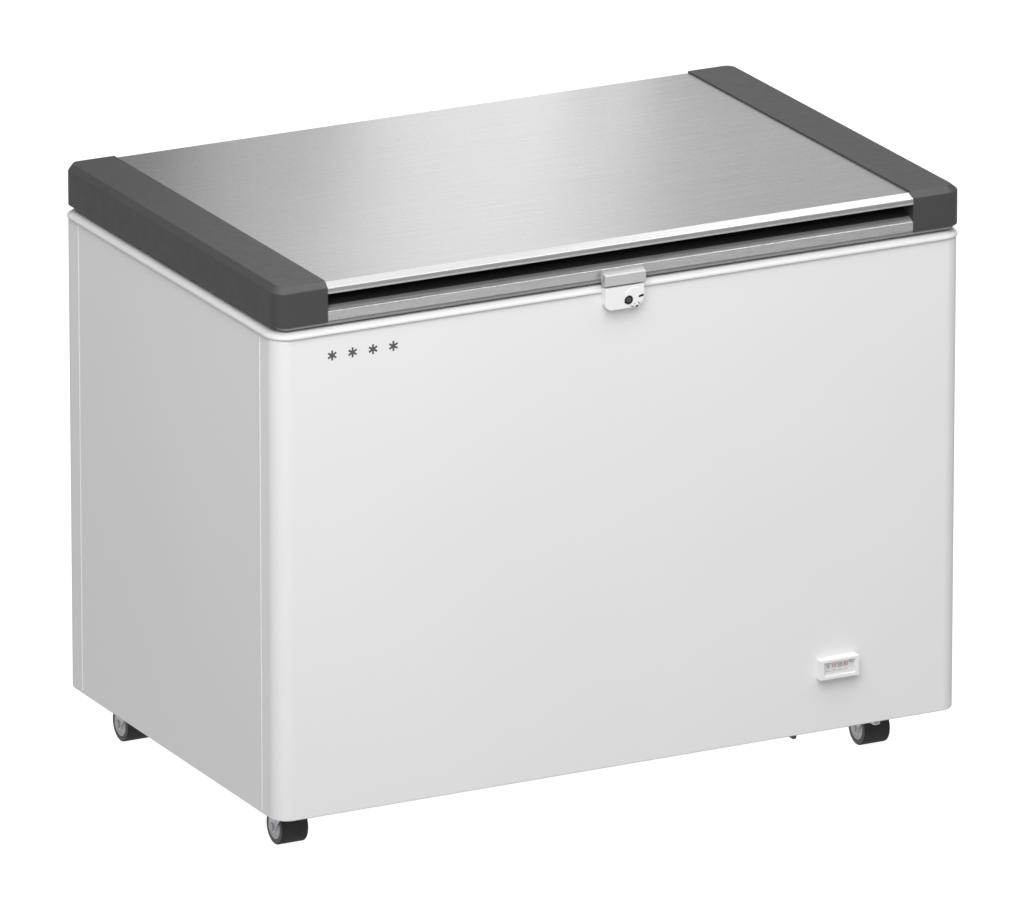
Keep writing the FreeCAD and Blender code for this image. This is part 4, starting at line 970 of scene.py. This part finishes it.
def scale_print(win_lo, win_hi, y):
    """Figures, ticks and the degree sign of the temperature scale."""
    wide = win_hi.x - win_lo.x
    mid = (win_lo.z + win_hi.z) / 2
    figures = [
        ("scale_figure_0", "0", 7.6, 0.19, 1.6, INK_BLUE), ("scale_figure_1", "10", 7.6, 0.38, 1.6, INK_RED),
        ("scale_figure_2", "20", 7.6, 0.57, 1.6, INK_BLUE), ("scale_figure_3", "30", 7.6, 0.75, 1.6, INK_RED),
        ("scale_unit", "°C", 5.2, 0.92, 5.0, INK_BLUE),
    ]
    for name, figure, size, share, lift, ink in figures:
        piece = words(name, figure, size, win_lo.x + wide * share, y - 0.03, mid + lift, ink)
        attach(piece, "cabinet")
    tick_count, foot = 14, mid - 6.2
    for ink, first, label in ((INK_BLUE, 0, "blue"), (INK_RED, 1, "red")):
        ticks = []
        for step in range(first, tick_count, 2):
            x = win_lo.x + wide * (0.15 + 0.05 * step)
            tall = 3.0 if step % 4 == first else 1.6
            ticks.append(block("tick", x - 0.35, x + 0.35, y - 0.09, y + 0.1, foot, foot + tall))
        finish_piece(join("scale_ticks_" + label, ticks), "cabinet", ink)


def star_mark():
    """Plain row of four frost stars, the usual rating mark of a freezer compartment."""
    first_x, pitch, cz, r, half_width = -438.0, 30.5, 724.0, 7.0, 1.35
    stars = []
    for index in range(4):
        for arm in range(3):
            turn = math.pi / 2 + arm * math.pi / 3
            corners = slanted_bar(first_x + index * pitch, cz, turn, r, half_width)
            depth = 0.20 + 0.02 * arm
            stars.append(extrude_y("arm", fillet(corners, 0.4, 2), PANEL_FRONT - depth, PANEL_FRONT + 0.3))
    finish_piece(join("frost_stars", stars), "cabinet", INK_GREY, angle=40.0)


# Casters

def fork(end, side_name):
    """Pressed bracket: bolt plate, two tapered legs with a stamped boss, rolled shoulders."""
    node = f"caster_fork_{end}_{side_name}"
    lo, hi = low(node), high(node)
    cx, cy = (lo.x + hi.x) / 2, (lo.y + hi.y) / 2
    plate = extrude_z("plate", rounded_loop(lo.x, hi.x, lo.y, hi.y, 6.0, 5), hi.z - 2.5, hi.z)
    parts = [plate]
    axle_z, eye_r, leg_t, half_gap = 25.0, 8.5, 2.0, 21.05
    top = hi.z - 1.5
    leg = [(lo.y + 3, top), (lo.y + 3, axle_z + 30)]
    for across, drop in ((-1.0, 0.0), (-0.6, 0.8), (0.0, 1.0), (0.6, 0.8), (1.0, 0.0)):
        leg.append((cy + eye_r * across, axle_z - eye_r * drop))
    leg.append((cy + 16, top))
    for side in (-1, 1):
        inner = cx + side * half_gap
        x0, x1 = sorted((inner, inner + side * leg_t))
        parts.append(extrude_x("leg", fillet(leg, [0, 4.0, 4.0, 3.0, 3.0, 3.0, 4.0, 0], 3), x0, x1))
        boss = fillet([(0.0, 0.3), (1.3, 0.3), (1.3, 4.6), (0.0, 6.4)], [0, 0, 0.8, 0], 3)
        parts.append(turned("boss", boss, (inner + side * leg_t, cy, axle_z), (side, 0, 0), 24))
    piece = join(f"fork_{end}_{side_name}", parts)
    finish_piece(piece, "cabinet", ZINC, [node], bevel=0.5, segments=3, angle=40.0)


def both_ends(profile):
    """An outline of (place along the axle, radius) with its mirror image added."""
    return profile + [(-along, radius) for along, radius in reversed(profile)]


def wheel(end, side_name):
    """Rubber tread with lighter sidewalls on a grey plastic hub."""
    place = f"{end}_{side_name}"
    body, node = "wheel_" + place, "caster_tyre_" + place
    lo, hi = low(node), high(node)
    centre, axle = tuple((lo + hi) / 2), (1, 0, 0)
    half, r, hub_r = (hi.x - lo.x) / 2, (hi.z - lo.z) / 2, 17.0
    tread = fillet(both_ends([(-half + 0.3, hub_r), (-half + 0.3, r)]), [0, 1.5, 1.5, 0], 5)
    tyre = turned("tyre_" + place, tread, centre, axle, 72)
    finish_piece(tyre, body, TYRE, [node], angle=40.0)
    band = both_ends([(-half, hub_r), (-half, r - 1.8), (-half + 0.7, r - 1.0)])
    wall = turned("sidewall_" + place, fillet(band, [0, 0.4, 0, 0, 0.4, 0], 3), centre, axle, 72)
    finish_piece(wall, body, SIDEWALL, angle=40.0)
    dish, boss = -half + 1.3, -half - 0.2
    web = [(-half, hub_r), (-half, 15.4), (dish, 14.2), (dish, 8.2), (boss, 7.2), (boss, 4.1)]
    eased = [0, 0.5, 0.5, 0.5, 0.5, 0]
    hub = turned("hub_" + place, fillet(both_ends(web), eased * 2, 3), centre, axle, 64)
    finish_piece(hub, body, HUB_PLASTIC, ["caster_hub_" + place], angle=40.0)


def underside():
    """Drain spout and the dark foot under the front edge."""
    lo, hi = low("drain_spout"), high("drain_spout")
    mid = (lo.x + hi.x) / 2
    outer = [(lo.x, hi.z), (mid - 4.8, lo.z), (mid + 4.8, lo.z), (hi.x, hi.z)]
    inner = [
        (lo.x + 2.4, hi.z - 1.0), (mid - 3.3, lo.z + 1.8), (mid + 3.3, lo.z + 1.8), (hi.x - 2.4, hi.z - 1.0),
    ]
    spout = extrude_y("drain_outlet", fillet(outer, [0.5, 2.0, 2.0, 0.5], 4), lo.y, hi.y)
    carve(spout, [extrude_y("bore", fillet(inner, [0.3, 1.0, 1.0, 0.3], 4), lo.y - 1, hi.y + 1)])
    finish_piece(spout, "cabinet", LOCK_WHITE, ["drain_spout"], bevel=0.3, angle=40.0)
    lo, hi = low("base_stop"), high("base_stop")
    foot = [(lo.x, hi.z), (lo.x + 2.5, lo.z), (hi.x - 2.5, lo.z), (hi.x, hi.z)]
    stop = extrude_y("base_foot", fillet(foot, [0, 1.2, 1.2, 0], 3), lo.y, hi.y)
    finish_piece(stop, "cabinet", SIDEWALL, ["base_stop"], bevel=0.8, angle=40.0)


# Stage

def light(name, location, target, size, energy, size_y=None):
    """A rectangular area light that faces its target and that the camera doesn't see."""
    data = bpy.data.lights.new(name, "AREA")
    data.energy = energy
    data.shape = "RECTANGLE"
    data.size = size
    data.size_y = size_y or size
    lamp = bpy.data.objects.new(name, data)
    lamp.location = location
    lamp.rotation_euler = (Vector(target) - Vector(location)).to_track_quat("-Z", "Y").to_euler()
    lamp.visible_camera = False
    bpy.context.scene.collection.objects.link(lamp)


# Brightness of the studio, as (direction component, value)
WALLS = [(-1.0, 0.20), (-0.3, 0.32), (0.5, 0.26), (1.0, 0.24)]
GROUND = [(-1.0, 0.55), (0.0, 0.50), (0.6, 0.49), (1.0, 0.50)]
HORIZON = [(-0.10, 0.0), (0.06, 1.0)]
ZENITH_EDGE = [(0.62, 0.0), (0.92, 1.0)]
ZENITH = 1.28
FLOOR_GLOW = 0.97


def studio_world():
    """Soft grey studio walls over a lighter floor and under a bright ceiling."""
    world = bpy.data.worlds.new("studio")
    bpy.context.scene.world = world
    world.use_nodes = True
    tree = world.node_tree
    background = tree.nodes["Background"]
    place = tree.nodes.new("ShaderNodeTexCoord").outputs["Generated"]
    split = tree.nodes.new("ShaderNodeSeparateXYZ")
    tree.links.new(place, split.inputs["Vector"])

    def fade(axis, stops):
        """Brightness along one component of the direction."""
        span = tree.nodes.new("ShaderNodeMapRange")
        span.inputs["From Min"].default_value = -1.0
        tree.links.new(split.outputs[axis], span.inputs["Value"])
        node = tree.nodes.new("ShaderNodeValToRGB")
        elements = node.color_ramp.elements
        node.color_ramp.interpolation = "EASE"
        while len(elements) < len(stops):
            elements.new(0.5)
        for element, (position, value) in zip(elements, stops):
            element.position = (position + 1) / 2
            element.color = (value, value, value, 1.0)
        tree.links.new(span.outputs["Result"], node.inputs["Fac"])
        return node.outputs["Color"]

    def mixed(first, second, factor):
        """Two brightnesses blended by a third."""
        node = tree.nodes.new("ShaderNodeMix")
        node.data_type = "RGBA"
        tree.links.new(factor, node.inputs["Factor"])
        tree.links.new(first, node.inputs["A"])
        if isinstance(second, tuple):
            node.inputs["B"].default_value = second
        else:
            tree.links.new(second, node.inputs["B"])
        return node.outputs["Result"]

    room = mixed(fade("Y", GROUND), fade("Y", WALLS), fade("Z", HORIZON))
    sky = mixed(room, (ZENITH, ZENITH, ZENITH, 1.0), fade("Z", ZENITH_EDGE))
    tree.links.new(sky, background.inputs["Color"])
    background.inputs["Strength"].default_value = 1.0


# Tall panels behind the freezer whose reflections lie on the worktop,
# as (place across the line of sight, width, radiance) at the worktop's rear edge
PANELS = [(-0.13, 0.66, 0.38), (-0.06, 0.32, 0.43), (0.54, 0.80, 0.25), (0.97, 0.50, 0.23)]
WORKTOP_REAR = 0.315
PANEL_AWAY = 1.0
PANEL_STEP = 0.02
PANEL_MIDDLE = 1.45
PANEL_HEIGHT = 1.1
SIGHT = Vector((0.458, 0.889, 0.0))
SIGHT_ACROSS = Vector((0.889, -0.458, 0.0))


def reflected_panels():
    """The tall panels, one just behind another, each facing the freezer."""
    for index, (offset, width, radiance) in enumerate(PANELS):
        away = WORKTOP_REAR * SIGHT.y + PANEL_AWAY + PANEL_STEP * index
        centre = SIGHT * away + SIGHT_ACROSS * offset
        centre.z = PANEL_MIDDLE
        watts = radiance * math.pi * width * PANEL_HEIGHT
        light(f"panel_{index}", centre, centre - SIGHT, width, watts, PANEL_HEIGHT)


def stage():
    """Pale paper floor, studio surroundings and lights."""
    reach = 9e3
    corners = [(-reach, -reach, 0), (reach, -reach, 0), (reach, reach, 0), (-reach, reach, 0)]
    floor = mesh_piece("floor", corners, [(0, 1, 2, 3)])
    look = Finish("floor_paper", 0.9)
    look.ramp(look.noise(1.0), shade(0.22, 0.004), "Base Color")
    look.shader.inputs["Specular IOR Level"].default_value = 0.0
    look.shader.inputs["Emission Color"].default_value = (1.0, 1.0, 1.0, 1.0)
    look.shader.inputs["Emission Strength"].default_value = FLOOR_GLOW
    floor.data.materials.append(look.material)
    floor.visible_diffuse = False
    floor.visible_glossy = False
    floor.visible_shadow = False
    studio_world()
    reflected_panels()
    light("key", (-1.65, -2.9, 3.7), (0.0, -0.3, 0.5), 3.4, 189.0)
    light("overhead", (1.0, -0.75, 2.9), (0.3, -0.33, 0.8), 1.8, 12.0, 0.8)
    light("floor_card", (0.6, -2.6, 0.01), (0.6, -2.6, 1.0), 1.3, 1.7, 1.2)
    view = bpy.context.scene.view_settings
    view.view_transform = "Standard"


def camera():
    """Long lens, slightly above the worktop, left of the front."""
    target = Vector((0.0607, 0.1081, 0.3807))
    distance, azimuth, elevation = 20.421, math.radians(27.246), math.radians(18.032)
    back = Vector((
        -math.sin(azimuth) * math.cos(elevation),
        -math.cos(azimuth) * math.cos(elevation),
        math.sin(elevation),
    ))
    data = bpy.data.cameras.new("camera")
    data.lens = 520.0
    data.sensor_width = 36.0
    data.clip_start = 1.0
    data.clip_end = 200.0
    eye = bpy.data.objects.new("camera", data)
    eye.location = target + back * distance
    eye.rotation_euler = (-back).to_track_quat("-Z", "Y").to_euler()
    bpy.context.scene.collection.objects.link(eye)
    bpy.context.scene.camera = eye


camera()
stage()
dress_carried_nodes()
cabinet_sheets()
top_frame()
liner()
end_cap(-1)
end_cap(1)
top_sheet()
grip()
underframe()
gasket()
lid_tray()
hasp()
lock()
thermometer()
star_mark()
for end in ("front", "rear"):
    for side_name in ("left", "right"):
        fork(end, side_name)
        wheel(end, side_name)
underside()
